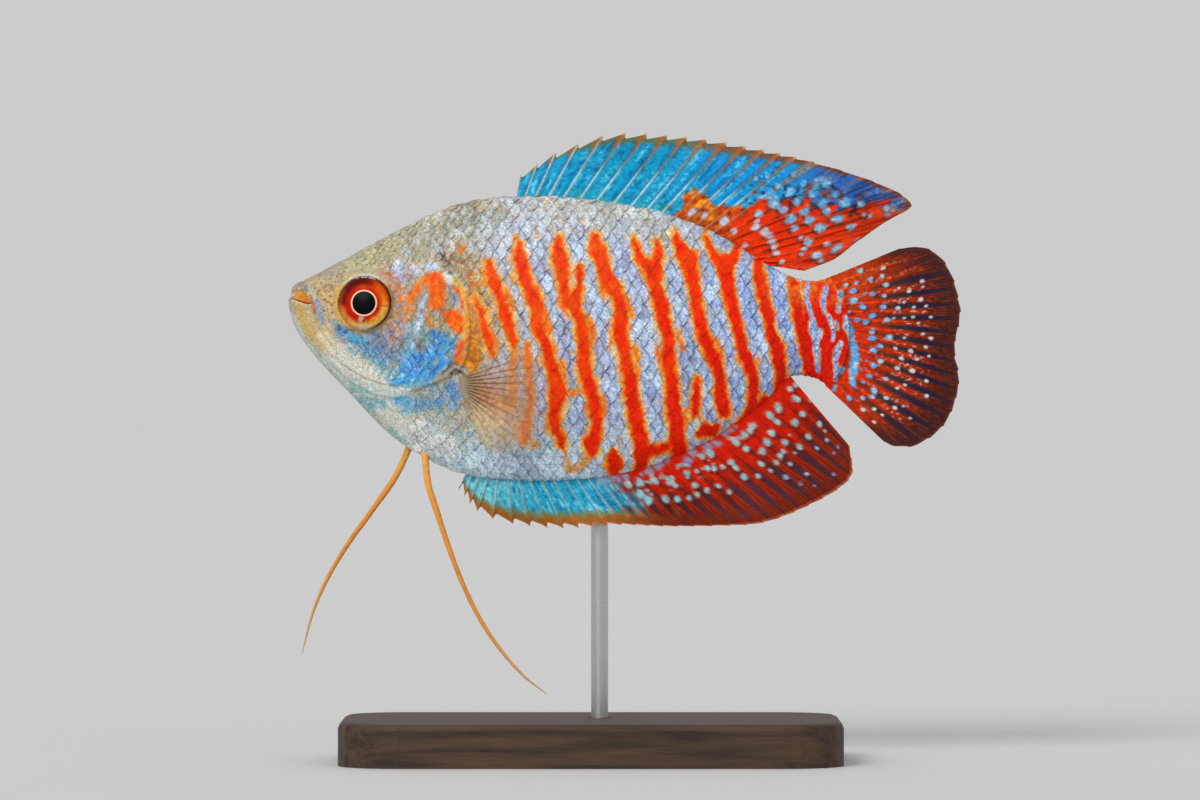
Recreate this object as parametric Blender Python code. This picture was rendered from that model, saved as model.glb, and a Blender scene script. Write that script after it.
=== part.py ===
"""Dwarf gourami, life size, as a still model over a flat stand.

The fish is drawn in its own side view in millimetres: u runs back from the snout
and v runs up from the mouth. Y is the fish's width, with its left side at -Y.
"""
import math

import bmesh
import bpy
from mathutils import Vector

MM = 0.001
GAP = 0.3
HALF_GAP = GAP / 2

# Whole model
TAIL_END = 77.9
LOWER_LIP_LEAD = 0.15
BASE_LENGTH = 58.0
BASE_DEPTH = 32.0
BASE_HEIGHT = 5.0
BASE_CORNER = 7.0
BASE_CORNER_SEGMENTS = 6
BASE_EDGE = 0.7
BASE_EDGE_SEGMENTS = 2
BASE_CENTRE_U = 35.0
ROD_RADIUS = 1.0
ROD_U = 36.0
ROD_Y = 2.2
ROD_TOP_V = -13.5
ROD_SEAT = 2.0
ROD_SIDES = 20
BELLY_SEAT_LENGTH = 12.0
FEELER_REACH = 44.9
FEELER_CLEARANCE = 3.0
SNOUT_X = (LOWER_LIP_LEAD - TAIL_END) / 2
MOUTH_Z = BASE_HEIGHT + FEELER_CLEARANCE + FEELER_REACH

# Body outline: height of back and belly, and half the width, at points along u
BACK = (
    (0.05, 0.1), (0.2, 0.9), (0.45, 1.9), (0.9, 2.5), (1.6, 2.85), (3.6, 3.8), (7.1, 5.7),
    (11.7, 8.3), (16.3, 10.5), (20.5, 12.0), (25.6, 12.65), (29.7, 12.7), (35.0, 12.3),
    (41.8, 11.2), (46.0, 9.9), (50.0, 8.1), (55.8, 4.6), (58.0, 3.45), (60.5, 2.85),
    (63.0, 3.35), (66.2, 4.6),
)
BELLY = (
    (0.05, -0.4), (0.2, -1.2), (0.5, -2.2), (1.5, -3.9), (3.6, -6.6), (7.1, -10.3),
    (11.7, -15.0), (16.3, -18.1), (20.0, -19.6), (23.5, -20.2), (29.7, -20.45), (35.5, -20.1),
    (40.7, -19.1), (45.3, -17.4), (50.0, -15.1), (54.6, -11.8), (58.9, -8.2), (61.0, -8.6),
    (63.5, -10.7), (66.2, -13.4),
)
HALF_WIDTH = (
    (0.05, 0.45), (0.3, 1.1), (1.5, 1.95), (3.6, 2.75), (7.1, 3.9), (11.7, 4.85), (16.3, 5.4),
    (22.0, 5.65), (27.0, 5.7), (33.7, 5.5), (41.8, 4.75), (49.4, 3.6), (55.8, 2.6), (59.2, 2.1),
    (62.9, 1.3), (66.2, 0.7),
)
LOWER_ROUNDNESS = ((0.0, 2.0), (15.0, 2.1), (28.0, 1.85), (50.0, 1.7), (66.2, 1.9))
UPPER_ROUNDNESS = 1.95
WIDEST_LEVEL = 0.54
BODY_START = 0.05
BODY_END = 66.2
BODY_STATIONS = 54
SNOUT_CROWDING = 1.5
RING_POINTS = 28
NORMAL_STEP = 0.2

# Cuts that part the body, from the back down, and the points along each
HEAD_CUT = (
    (16.0, 14.5), (16.7, 11.0), (17.6, 6.6), (19.4, 2.9), (20.7, 0.0), (20.5, -3.2),
    (19.2, -6.6), (16.4, -9.3), (12.4, -10.25), (8.2, -10.5), (4.6, -11.4),
)
HEAD_CUT_POINTS = 40
MOUTH_LINE = ((-2.0, 0.85), (0.1, 0.7), (1.3, 0.5), (2.6, 0.0))
JAW_CUT = MOUTH_LINE + ((3.3, -2.2), (4.5, -4.6), (6.2, -7.4), (7.4, -9.7), (7.2, -12.5))
JAW_CUT_POINTS = 26
TAIL_CUT = ((56.6, 7.5), (58.0, 2.5), (58.9, -3.5), (59.5, -8.0), (59.9, -11.0))
TAIL_CUT_POINTS = 12
FAR = 30.0

# Gill cover: a thin plate lying in a pocket on each cheek
COVER_FRONT = (
    (25.0, 5.3), (19.5, 5.3), (17.0, 4.9), (14.6, 3.6), (12.7, 1.3), (11.8, -1.6), (11.0, -4.9),
    (9.9, -7.6), (8.9, -9.6), (8.4, -11.5),
)
COVER_FRONT_POINTS = 30
COVER_THICKNESS = 0.8
CORE_SPAN = (5.0, 28.0)
CORE_STATIONS = 22

# Eyes, nostrils and lips
EYE_CENTRE = (8.92, 0.17)
EYE_RADIUS = 3.2
EYE_HALF_DEPTH = 1.6
EYE_SINK = 0.55
EYE_SEGMENTS = 20
NOSTRILS = ((4.6, 2.0, 0.45), (6.0, 3.35, 0.36))
NOSTRIL_BORE = 0.7
NOSTRIL_DEPTH = 0.5
NOSTRIL_SEGMENTS = 8
NOSTRIL_RIM = 0.14
RIM_POINTS = 8
RIM_ROUNDING = 1
LIP_REACH = 2.25
LIP_POINTS = 15
UPPER_LIP_RADIUS = (0.52, 0.3)
LOWER_LIP_RADIUS = (0.45, 0.28)

# Fins: (ray number, u, v) of tips and (ray number, u) of roots, smooth between
DORSAL_RAYS = 24
DORSAL_ROOTS = ((0, 26.4), (2, 28.8), (11, 45.1), (15, 49.6), (23, 56.6))
DORSAL_TIPS = (
    (0, 26.8, 15.1), (2, 31.0, 17.8), (5, 39.1, 20.0), (8, 46.2, 19.6), (12, 55.1, 18.0),
    (15, 60.8, 16.6), (19, 72.2, 11.5), (20, 69.6, 9.9), (21, 66.4, 7.7), (22, 63.0, 5.2),
    (23, 59.7, 3.95),
)
ANAL_RAYS = 31
ANAL_ROOTS = ((0, 20.3), (2, 21.9), (12, 34.9), (16, 39.7), (30, 58.4))
ANAL_TIPS = (
    (0, 19.7, -21.3), (3, 21.8, -23.9), (5, 25.9, -25.4), (8, 31.8, -25.9), (12, 38.5, -25.5),
    (16, 45.0, -25.7), (20, 53.0, -25.5), (24, 60.2, -23.3), (28, 65.4, -19.2), (30, 65.0, -16.4),
)
TAIL_RAYS = 17
TAIL_BASE_BULGE = 64.9
TAIL_BASE_LEVEL = -3.1
TAIL_BASE_CURL = 0.055
TAIL_BASE_TOP = 12.0
TAIL_BASE_BOTTOM = -18.0
TAIL_BASE_POINTS = 25
TAIL_ROOT_SPAN = (3.35, -9.85)
TAIL_TIPS = (
    (0, 70.8, 6.55), (0.5, 72.6, 6.78), (1, 74.2, 6.53), (1.5, 75.3, 5.8), (2, 76.1, 4.93),
    (3, 77.15, 2.78), (4, 77.6, 1.04), (5, 77.9, -0.7), (6, 77.7, -2.43), (7, 77.35, -4.06),
    (8, 77.3, -5.8), (9, 77.65, -7.42), (10, 77.75, -9.04), (11, 77.45, -10.66), (12, 76.9, -12.3),
    (13, 75.9, -14.0), (14, 74.3, -15.4), (15, 71.9, -16.45), (15.5, 70.4, -16.45), (16, 68.9, -15.8),
)
PECTORAL_RAYS = 10
PECTORAL_ROOT_SPAN = (-8.1, -11.5)
PECTORAL_ROOT_U = 20.7
PECTORAL_TIPS = (
    (0, 28.2, -4.4), (2, 30.2, -8.0), (4, 30.0, -11.9), (6, 28.3, -15.9), (8, 24.0, -17.6),
    (9, 21.9, -16.5),
)
PECTORAL_SLOPE = 0.5
MEMBRANE = 0.5
RIDGE_ROOT = 1.0
RIDGE_TIP = 0.6
PECTORAL_RIDGE_ROOT = 0.8
RIDGE_SPREAD = (0.2, 0.12)
MARGIN_DIP = 0.45
FIN_ROWS = (0.0, 0.12, 0.34, 0.6, 0.84, 1.0)
WAVE_HEIGHT = 0.9
WAVE_LENGTH = 19.0
WAVE_START = 11.75
WAVE_LEAN = 0.4

# Pelvic fins: one long feeler each, (u, v, distance from the middle plane)
LEFT_FEELER = (
    (15.75, -16.9, 1.3), (16.1, -20.3, 1.8), (17.2, -23.9, 2.3), (18.5, -27.8, 2.8),
    (20.2, -32.2, 3.4), (22.4, -36.6, 4.0), (25.0, -40.3, 4.5), (27.4, -42.9, 4.9),
    (30.0, -44.9, 5.2),
)
RIGHT_FEELER = (
    (14.2, -15.8, 1.3), (12.4, -19.7, 1.9), (9.5, -23.9, 2.5), (6.7, -27.8, 3.0),
    (4.2, -32.0, 3.6), (2.5, -36.0, 4.2), (1.3, -40.6, 4.7),
)
FEELER_RADII = ((0.0, 0.48), (0.6, 0.27), (1.0, 0.14))
FEELER_ROOT_RADIUS = FEELER_RADII[0][1]
FEELER_POINTS = 22
FEELER_SEAT_LENGTH = 3.0

# Rounding of tubes, welding of their caps, and the angle from which an edge is sharp
TUBE_ROUNDING = 2
WELD = 0.01
SHARP_ANGLE = 35

# Colours and finish: base colour, roughness, metallic
FINISHES = {
    "scaled_skin": ((0.45, 0.5, 0.68), 0.4, 0.15),
    "head_skin": ((0.5, 0.52, 0.45), 0.45, 0.1),
    "gill_skin": ((0.2, 0.4, 0.75), 0.4, 0.15),
    "eye": ((0.8, 0.16, 0.02), 0.12, 0.0),
    "dorsal_membrane": ((0.05, 0.4, 0.75), 0.45, 0.05),
    "red_membrane": ((0.6, 0.08, 0.02), 0.45, 0.05),
    "clear_membrane": ((0.6, 0.42, 0.28), 0.45, 0.0),
    "feeler": ((0.85, 0.42, 0.1), 0.45, 0.0),
    "base_wood": ((0.09, 0.05, 0.03), 0.4, 0.0),
    "rod_steel": ((0.6, 0.6, 0.6), 0.3, 1.0),
}


def clear_scene():
    """Remove every object that the scene starts with."""
    for item in list(bpy.data.objects):
        bpy.data.objects.remove(item, do_unlink=True)


def make_collection(name):
    """New collection under the scene."""
    group = bpy.data.collections.new(name)
    bpy.context.scene.collection.children.link(group)
    return group


clear_scene()
PARTS = make_collection("dwarf_gourami")
CUTTERS = make_collection("cutters")


def world(u, v, y=0.0):
    """Scene position in metres of a point of the fish drawing."""
    return Vector(((SNOUT_X + u) * MM, y * MM, (MOUTH_Z + v) * MM))


def smooth_curve(points):
    """Function through the (x, value) points that never overshoots between them."""
    xs = [point[0] for point in points]
    values = [point[1] for point in points]
    steps = [b - a for a, b in zip(xs, xs[1:])]
    rises = [(b - a) / step for a, b, step in zip(values, values[1:], steps)]
    slopes = [rises[0]]
    for before, after in zip(rises, rises[1:]):
        level = before * after <= 0
        slopes.append(0.0 if level else 2 * before * after / (before + after))
    slopes.append(rises[-1])

    def value_at(x):
        x = min(max(x, xs[0]), xs[-1])
        index = 0
        while index < len(steps) - 1 and x > xs[index + 1]:
            index += 1
        step = steps[index]
        t = (x - xs[index]) / step
        rise = values[index + 1] - values[index]
        bend = (slopes[index] * (1 - t) - slopes[index + 1] * t) * step + rise * (2 * t - 1)
        return values[index] + rise * t + t * (1 - t) * bend

    return value_at


def spline(points, count):
    """Smooth line of count points through the given ones, of any dimension."""
    last = len(points) - 1
    axes = [smooth_curve([(i, point[a]) for i, point in enumerate(points)])
            for a in range(len(points[0]))]
    places = [last * i / (count - 1) for i in range(count)]
    return [tuple(axis(place) for axis in axes) for place in places]


back = smooth_curve(BACK)
belly = smooth_curve(BELLY)
half_width = smooth_curve(HALF_WIDTH)
lower_roundness = smooth_curve(LOWER_ROUNDNESS)


def section(u, inset=0.0):
    """Top, bottom, widest level and half width of the body at u, drawn in by inset."""
    top = back(u) - inset
    bottom = belly(u) + inset
    return top, bottom, bottom + WIDEST_LEVEL * (top - bottom), half_width(u) - inset


def flank(u, v):
    """Distance of the body's surface from the middle plane at (u, v)."""
    top, bottom, level, half = section(u)
    reach = top - level if v > level else level - bottom
    power = UPPER_ROUNDNESS if v > level else lower_roundness(u)
    share = min(abs(v - level) / reach, 1.0)
    return half * (1 - share ** power) ** (1 / power)


def flank_point(u, v, side, outward=0.0):
    """Scene position on the flank, moved outward along the surface's normal."""
    return world(u, v, side * flank(u, v)) + flank_normal(u, v, side) * outward * MM


def flank_normal(u, v, side):
    """Unit normal of the flank, pointing out of the fish."""
    step = NORMAL_STEP
    along = (flank(u + step, v) - flank(u - step, v)) / (2 * step)
    up = (flank(u, v + step) - flank(u, v - step)) / (2 * step)
    return Vector((-along, side, -up)).normalized()


def ring(u, inset):
    """Points round the body's section at u."""
    top, bottom, level, half = section(u, inset)
    points = []
    for index in range(RING_POINTS):
        angle = 2 * math.pi * index / RING_POINTS
        across, up = math.cos(angle), math.sin(angle)
        power = 2 / (UPPER_ROUNDNESS if up > 0 else lower_roundness(u))
        reach = top - level if up > 0 else level - bottom
        y = math.copysign(abs(across) ** power, across) * half
        v = level + math.copysign(abs(up) ** power, up) * reach
        points.append(world(u, v, y))
    return points


def new_object(name, mesh, group):
    """Object for a mesh, linked to a collection."""
    item = bpy.data.objects.new(name, mesh)
    group.objects.link(item)
    if group is CUTTERS:
        item.hide_render = True
        item.display_type = "WIRE"
    return item


def mesh_from(bm, name, group=CUTTERS):
    """Object from a bmesh, its faces turned outward."""
    bmesh.ops.triangulate(bm, faces=bm.faces)
    bmesh.ops.recalc_face_normals(bm, faces=bm.faces)
    mesh = bpy.data.meshes.new(name)
    bm.to_mesh(mesh)
    bm.free()
    return new_object(name, mesh, group)


def body_loft(name, inset, start, end, stations, crowding=1.0):
    """Closed loft of the body's sections, crowded towards its start where asked."""
    bm = bmesh.new()
    rings = []
    for index in range(stations):
        u = start + (end - start) * (index / (stations - 1)) ** crowding
        rings.append([bm.verts.new(point) for point in ring(u, inset)])
    for first, second in zip(rings, rings[1:]):
        for index in range(RING_POINTS):
            after = (index + 1) % RING_POINTS
            bm.faces.new((first[index], first[after], second[after], second[index]))
    bm.faces.new(rings[0])
    bm.faces.new(reversed(rings[-1]))
    return mesh_from(bm, name)


def evaluated_mesh(item):
    """Copy of the object's mesh with its modifiers applied."""
    graph = bpy.context.evaluated_depsgraph_get()
    graph.update()
    return bpy.data.meshes.new_from_object(item.evaluated_get(graph))


def as_mesh(curve_object):
    """Mesh cutter with welded caps in place of a curve object."""
    mesh = evaluated_mesh(curve_object)
    bm = bmesh.new()
    bm.from_mesh(mesh)
    bmesh.ops.transform(bm, matrix=curve_object.matrix_world, verts=bm.verts)
    bmesh.ops.remove_doubles(bm, verts=bm.verts, dist=WELD * MM)
    name = curve_object.name
    bpy.data.objects.remove(curve_object, do_unlink=True)
    return mesh_from(bm, name)


def curve_object(name, dimensions, points, radii=None, cyclic=False):
    """Curve object with one POLY spline through the points."""
    curve = bpy.data.curves.new(name, "CURVE")
    curve.dimensions = dimensions
    line = curve.splines.new("POLY")
    line.points.add(len(points) - 1)
    for index, place in enumerate(points):
        line.points[index].co = (*place, 1.0)
        line.points[index].radius = radii[index] if radii else 1.0
    line.use_cyclic_u = cyclic
    return new_object(name, curve, CUTTERS)


def prism(name, outline, y_low=-FAR, y_high=FAR):
    """Flat outline in the side view, extruded across the fish from y_low to y_high."""
    item = curve_object(name, "2D", [(u * MM, v * MM, 0.0) for u, v in outline], cyclic=True)
    item.data.fill_mode = "BOTH"
    item.data.extrude = (y_high - y_low) / 2 * MM
    item.rotation_euler = (math.pi / 2, 0.0, 0.0)
    item.location = world(0.0, 0.0, (y_low + y_high) / 2)
    bpy.context.view_layer.update()
    return as_mesh(item)


def tube(name, points, radii, rounding=TUBE_ROUNDING, cyclic=False):
    """Round tube through scene points with a radius in millimetres at each."""
    item = curve_object(name, "3D", [tuple(point) for point in points], radii, cyclic)
    item.data.bevel_depth = MM
    item.data.bevel_resolution = rounding
    item.data.use_fill_caps = True
    bpy.context.view_layer.update()
    return as_mesh(item)


def shifted(line, distance):
    """Line moved sideways in the side view, to the left of its direction."""
    moved = []
    for index, (u, v) in enumerate(line):
        before = line[max(index - 1, 0)]
        after = line[min(index + 1, len(line) - 1)]
        du, dv = after[0] - before[0], after[1] - before[1]
        length = math.hypot(du, dv)
        moved.append((u - dv / length * distance, v + du / length * distance))
    return moved


def apply_modifiers(item):
    """Replace the object's mesh with its evaluated one."""
    item.data = evaluated_mesh(item)
    item.modifiers.clear()


def cut(item, operation, cutter):
    """Boolean of the item with one closed cutter, applied."""
    modifier = item.modifiers.new(cutter.name, "BOOLEAN")
    modifier.operation = operation
    modifier.solver = "EXACT"
    modifier.object = cutter
    apply_modifiers(item)


def fuse(item, pieces):
    """Union of the item with closed pieces, applied, and the pieces removed."""
    group = make_collection("pieces")
    for piece in pieces:
        CUTTERS.objects.unlink(piece)
        group.objects.link(piece)
    modifier = item.modifiers.new("fuse", "BOOLEAN")
    modifier.operation = "UNION"
    modifier.solver = "EXACT"
    modifier.operand_type = "COLLECTION"
    modifier.collection = group
    apply_modifiers(item)
    for piece in pieces:
        bpy.data.objects.remove(piece, do_unlink=True)
    bpy.data.collections.remove(group)


def keep_largest(item):
    """Drop every closed surface but the largest."""
    bm = bmesh.new()
    bm.from_mesh(item.data)
    waiting = set(bm.verts)
    groups = []
    while waiting:
        stack = [waiting.pop()]
        group = set(stack)
        while stack:
            for edge in stack.pop().link_edges:
                for vert in edge.verts:
                    if vert not in group:
                        group.add(vert)
                        waiting.discard(vert)
                        stack.append(vert)
        groups.append(group)
    groups.sort(key=len)
    for group in groups[:-1]:
        bmesh.ops.delete(bm, geom=list(group), context="VERTS")
    bm.to_mesh(item.data)
    bm.free()


def part(name, finish, source):
    """Named part that takes over the mesh of a working object."""
    mesh = source.data.copy()
    mesh.name = name
    bpy.data.objects.remove(source, do_unlink=True)
    item = new_object(name, mesh, PARTS)
    item.data.materials.clear()
    item.data.materials.append(MATERIALS[finish])
    item.data.shade_smooth()
    item.data.set_sharp_from_angle(angle=math.radians(SHARP_ANGLE))
    return item


def make_material(name, color, roughness, metallic):
    """Principled material in one colour."""
    material = bpy.data.materials.new(name)
    material.use_nodes = True
    shader = material.node_tree.nodes["Principled BSDF"]
    shader.inputs["Base Color"].default_value = (*color, 1.0)
    shader.inputs["Roughness"].default_value = roughness
    shader.inputs["Metallic"].default_value = metallic
    return material


MATERIALS = {name: make_material(name, *values) for name, values in FINISHES.items()}


def body_copy(name, whole):
    """Fresh working copy of the whole body."""
    return new_object(name, whole.data.copy(), CUTTERS)


def head_region(distance):
    """Side-view area in front of the head cut, its cut edge moved by distance."""
    line = shifted(spline(HEAD_CUT, HEAD_CUT_POINTS), distance)
    return line + [(-FAR, line[-1][1]), (-FAR, line[0][1])]


def jaw_region(distance):
    """Side-view area below the mouth and in front of the jaw cut."""
    line = shifted(spline(JAW_CUT, JAW_CUT_POINTS), distance)
    return line + [(-FAR, line[-1][1]), (-FAR, line[0][1])]


def tail_region(distance):
    """Side-view area behind the tail cut."""
    line = shifted(spline(TAIL_CUT, TAIL_CUT_POINTS), distance)
    return line + [(BODY_END + FAR, line[-1][1]), (BODY_END + FAR, line[0][1])]


def cover_region(distance):
    """Side-view area below the top and behind the front edge of the gill cover."""
    line = shifted(spline(COVER_FRONT, COVER_FRONT_POINTS), distance)
    return line + [(COVER_FRONT[0][0], -FAR)]


def tail_base(v):
    """Distance along u of the rounded rear edge of the tail stem at height v."""
    return TAIL_BASE_BULGE - TAIL_BASE_CURL * (v - TAIL_BASE_LEVEL) ** 2


def tail_base_region():
    """Side-view area behind the rounded rear edge of the tail stem."""
    step = (TAIL_BASE_TOP - TAIL_BASE_BOTTOM) / (TAIL_BASE_POINTS - 1)
    heights = [TAIL_BASE_TOP - step * i for i in range(TAIL_BASE_POINTS)]
    line = [(tail_base(v), v) for v in heights]
    return line + [(BODY_END + FAR, line[-1][1]), (BODY_END + FAR, line[0][1])]


def ball(name, centre, normal, radius, half_depth, segments):
    """Ellipsoid with its short axis along the normal."""
    bm = bmesh.new()
    bmesh.ops.create_uvsphere(bm, u_segments=segments, v_segments=segments // 2, radius=1.0)
    bmesh.ops.scale(bm, vec=Vector((radius, radius, half_depth)) * MM, verts=bm.verts)
    turn = Vector((0, 0, 1)).rotation_difference(normal).to_matrix()
    bmesh.ops.rotate(bm, cent=(0, 0, 0), matrix=turn, verts=bm.verts)
    bmesh.ops.translate(bm, vec=centre, verts=bm.verts)
    return mesh_from(bm, name)


def rod(name, centre, radius, low_z, high_z):
    """Upright cylinder between two heights in millimetres."""
    bm = bmesh.new()
    length = (high_z - low_z) * MM
    bmesh.ops.create_cone(bm, cap_ends=True, segments=ROD_SIDES,
                          radius1=radius * MM, radius2=radius * MM, depth=length)
    middle = Vector((centre.x, centre.y, (low_z + high_z) / 2 * MM))
    bmesh.ops.translate(bm, vec=middle, verts=bm.verts)
    return mesh_from(bm, name)


def nostril_rim(name, u, v, radius, side):
    """Raised ring round a nostril."""
    normal = flank_normal(u, v, side)
    centre = flank_point(u, v, side)
    across = normal.orthogonal().normalized()
    other = normal.cross(across)
    points = []
    for index in range(RIM_POINTS):
        angle = 2 * math.pi * index / RIM_POINTS
        points.append(centre + (across * math.cos(angle) + other * math.sin(angle)) * radius * MM)
    return tube(name, points, [NOSTRIL_RIM] * RIM_POINTS, RIM_ROUNDING, cyclic=True)


def lip(name, radii, lead, direction):
    """Lip round the snout, above (direction 1) or below (-1) the mouth line."""
    mouth = smooth_curve(MOUTH_LINE)
    points = []
    thickness = []
    for index in range(LIP_POINTS):
        angle = math.pi * (index / (LIP_POINTS - 1) - 0.5)
        back_share = 1 - math.cos(angle)
        radius = radii[0] + (radii[1] - radii[0]) * back_share
        u = radii[0] - lead + LIP_REACH * back_share
        v = mouth(u) + direction * (HALF_GAP + radius)
        y = math.sin(angle) * flank(LIP_REACH + radii[0], mouth(LIP_REACH))
        points.append(world(u, v, y))
        thickness.append(radius)
    return tube(name, points, thickness)


def make_head(whole, region, core):
    """Head without jaw: pockets for the gill covers, eye sockets, lips and nostrils."""
    head = body_copy("head_work", whole)
    cut(head, "INTERSECT", region)
    cut(head, "DIFFERENCE", prism("jaw_space", jaw_region(HALF_GAP)))
    pocket = prism("cover_space", cover_region(-GAP))
    cut(pocket, "DIFFERENCE", core)
    cut(head, "DIFFERENCE", pocket)
    rims = [lip("upper_lip", UPPER_LIP_RADIUS, 0.0, 1)]
    for side in (-1, 1):
        for number, (u, v, radius) in enumerate(NOSTRILS):
            rims.append(nostril_rim(f"nostril_rim_{number}_{side}", u, v, radius, side))
    fuse(head, rims)
    for side in (-1, 1):
        for number, (u, v, radius) in enumerate(NOSTRILS):
            normal = flank_normal(u, v, side)
            centre = flank_point(u, v, side, NOSTRIL_RIM)
            width = radius * NOSTRIL_BORE
            pit = ball(f"nostril_{number}_{side}", centre, normal, width, NOSTRIL_DEPTH,
                       NOSTRIL_SEGMENTS)
            cut(head, "DIFFERENCE", pit)
        cut(head, "DIFFERENCE", eyeball(f"socket_{side}", side, GAP))
    keep_largest(head)
    part("head", "head_skin", head)


def make_jaw(whole):
    """Lower jaw with its lip."""
    jaw = body_copy("jaw_work", whole)
    cut(jaw, "INTERSECT", prism("jaw_space_inner", jaw_region(-HALF_GAP)))
    fuse(jaw, [lip("lower_lip", LOWER_LIP_RADIUS, LOWER_LIP_LEAD, -1)])
    keep_largest(jaw)
    part("lower_jaw", "head_skin", jaw)


def make_gill_cover(whole, region, side):
    """Thin gill cover on one side, its rear edge free along the head cut."""
    cover = body_copy(f"cover_work_{side}", whole)
    cut(cover, "INTERSECT", region)
    low, high = (-FAR, 0.0) if side < 0 else (0.0, FAR)
    cut(cover, "INTERSECT", prism(f"cover_area_{side}", cover_region(0.0), low, high))
    cut(cover, "DIFFERENCE", body_loft("cover_core", COVER_THICKNESS, *CORE_SPAN, CORE_STATIONS))
    keep_largest(cover)
    part("gill_cover_left" if side < 0 else "gill_cover_right", "gill_skin", cover)


def eyeball(name, side, growth=0.0):
    """Flattened eyeball set into the head, or its socket when grown."""
    normal = flank_normal(*EYE_CENTRE, side)
    centre = flank_point(*EYE_CENTRE, side, -EYE_SINK)
    size = EYE_RADIUS + growth, EYE_HALF_DEPTH + growth
    return ball(name, centre, normal, *size, EYE_SEGMENTS)


def make_trunk(whole):
    """Trunk between head and tail stem, with seats for the feelers and the rod."""
    trunk = body_copy("trunk_work", whole)
    cut(trunk, "DIFFERENCE", prism("head_space", head_region(HALF_GAP)))
    cut(trunk, "DIFFERENCE", prism("tail_space", tail_region(-HALF_GAP)))
    for name, route in (("left_seat", LEFT_FEELER), ("right_seat", RIGHT_FEELER)):
        side = -1 if name == "left_seat" else 1
        (u, v, y), (next_u, next_v, next_y) = route[:2]
        start = world(u, v, side * y)
        downward = (world(next_u, next_v, side * next_y) - start).normalized()
        ends = [start - downward * GAP * MM, start + downward * FEELER_SEAT_LENGTH * MM]
        cut(trunk, "DIFFERENCE", tube(name, ends, [FEELER_ROOT_RADIUS + GAP] * 2))
    top_z = MOUTH_Z + ROD_TOP_V + GAP
    low_z = top_z - BELLY_SEAT_LENGTH
    cut(trunk, "DIFFERENCE", rod("rod_seat", world(ROD_U, 0, ROD_Y), ROD_RADIUS + GAP, low_z, top_z))
    keep_largest(trunk)
    part("trunk", "scaled_skin", trunk)


def make_tail_stem(whole):
    """Tail stem behind the trunk, with a rounded rear edge."""
    stem = body_copy("stem_work", whole)
    cut(stem, "INTERSECT", prism("stem_area", tail_region(HALF_GAP)))
    cut(stem, "DIFFERENCE", prism("tail_fin_space", tail_base_region()))
    keep_largest(stem)
    part("tail_stem", "scaled_skin", stem)


def middle_wave(u, v, share):
    """Slight sideways wave of a fin on the middle plane, growing to its margin."""
    return WAVE_HEIGHT * share ** 2 * math.sin(
        2 * math.pi * (u + WAVE_LEAN * v - WAVE_START) / WAVE_LENGTH)


def tip_curves(tips):
    """Smooth u and v of the tips as functions of the ray number."""
    along = smooth_curve([(number, u) for number, u, _ in tips])
    up = smooth_curve([(number, v) for number, _, v in tips])
    return lambda number: (along(number), up(number))


def fin_columns(ray_count):
    """(ray number, -1, 0 or 1) of each column: the foot, crest and foot of every ray."""
    columns = []
    for number in range(ray_count):
        for side in (-1, 0, 1):
            outside = (number == 0 and side < 0) or (number == ray_count - 1 and side > 0)
            if not outside:
                columns.append((number, side))
    return columns


def ridged_fin(name, finish, ray_count, root, tip, ridge_root, place):
    """Closed fin whose rays are ridges raised on both faces of one membrane.

    root and tip give (u, v) for a ray number; place gives the middle point and the
    thickness direction in the scene for (u, v, share of the ray's length).
    """
    bm = bmesh.new()
    faces_by_side = ([], [])
    for number, foot in fin_columns(ray_count):
        columns = ([], [])
        for share in FIN_ROWS:
            spread = RIDGE_SPREAD[0] + (RIDGE_SPREAD[1] - RIDGE_SPREAD[0]) * share
            ray = number + foot * spread
            start, end = root(ray), tip(ray)
            length = math.dist(start, end)
            reach = share - (MARGIN_DIP / length if foot and share == 1.0 else 0.0)
            u = start[0] + (end[0] - start[0]) * reach
            v = start[1] + (end[1] - start[1]) * reach
            crest = ridge_root + (RIDGE_TIP - ridge_root) * share
            thickness = MEMBRANE if foot else crest
            middle, direction = place(u, v, share)
            for side, column in zip((-1, 1), columns):
                offset = direction * side * thickness / 2 * MM
                column.append(bm.verts.new(middle + offset))
        for grid, column in zip(faces_by_side, columns):
            grid.append(column)
    near, far = faces_by_side
    rows = len(FIN_ROWS)
    for index in range(len(near) - 1):
        for row in range(rows - 1):
            for grid in (near, far):
                low, high = grid[index][row], grid[index + 1][row]
                low_up, high_up = grid[index][row + 1], grid[index + 1][row + 1]
                bm.faces.new((low, high, high_up))
                bm.faces.new((low, high_up, low_up))
    rim = [column[0] for column in near] + near[-1][1:-1]
    rim += [column[-1] for column in reversed(near)] + near[0][-2:0:-1]
    other = [column[0] for column in far] + far[-1][1:-1]
    other += [column[-1] for column in reversed(far)] + far[0][-2:0:-1]
    for index in range(len(rim)):
        after = (index + 1) % len(rim)
        bm.faces.new((rim[index], rim[after], other[after], other[index]))
    part(name, finish, mesh_from(bm, name + "_work"))


def middle_place(u, v, share):
    """Place of a middle-plane fin: waved about the middle plane, thick along Y."""
    return world(u, v, middle_wave(u, v, share)), Vector((0, 1, 0))


def pectoral_place(side):
    """Place of a pectoral fin: its root lies along the flank, and it spreads outward."""
    slant = math.atan(PECTORAL_SLOPE)

    def place(u, v, share):
        root_v = min(max(v, PECTORAL_ROOT_SPAN[1]), PECTORAL_ROOT_SPAN[0])
        reach = math.dist((u, v), (PECTORAL_ROOT_U, root_v))
        clear = min(share / FIN_ROWS[1], 1.0)
        y = flank(PECTORAL_ROOT_U, root_v) + GAP + MEMBRANE / 2 * clear + PECTORAL_SLOPE * reach
        angle = slant * clear + math.pi / 2 * (1 - clear)
        direction = Vector((-math.sin(angle), side * math.cos(angle), 0))
        return world(u, v, side * y), direction

    return place


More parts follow.
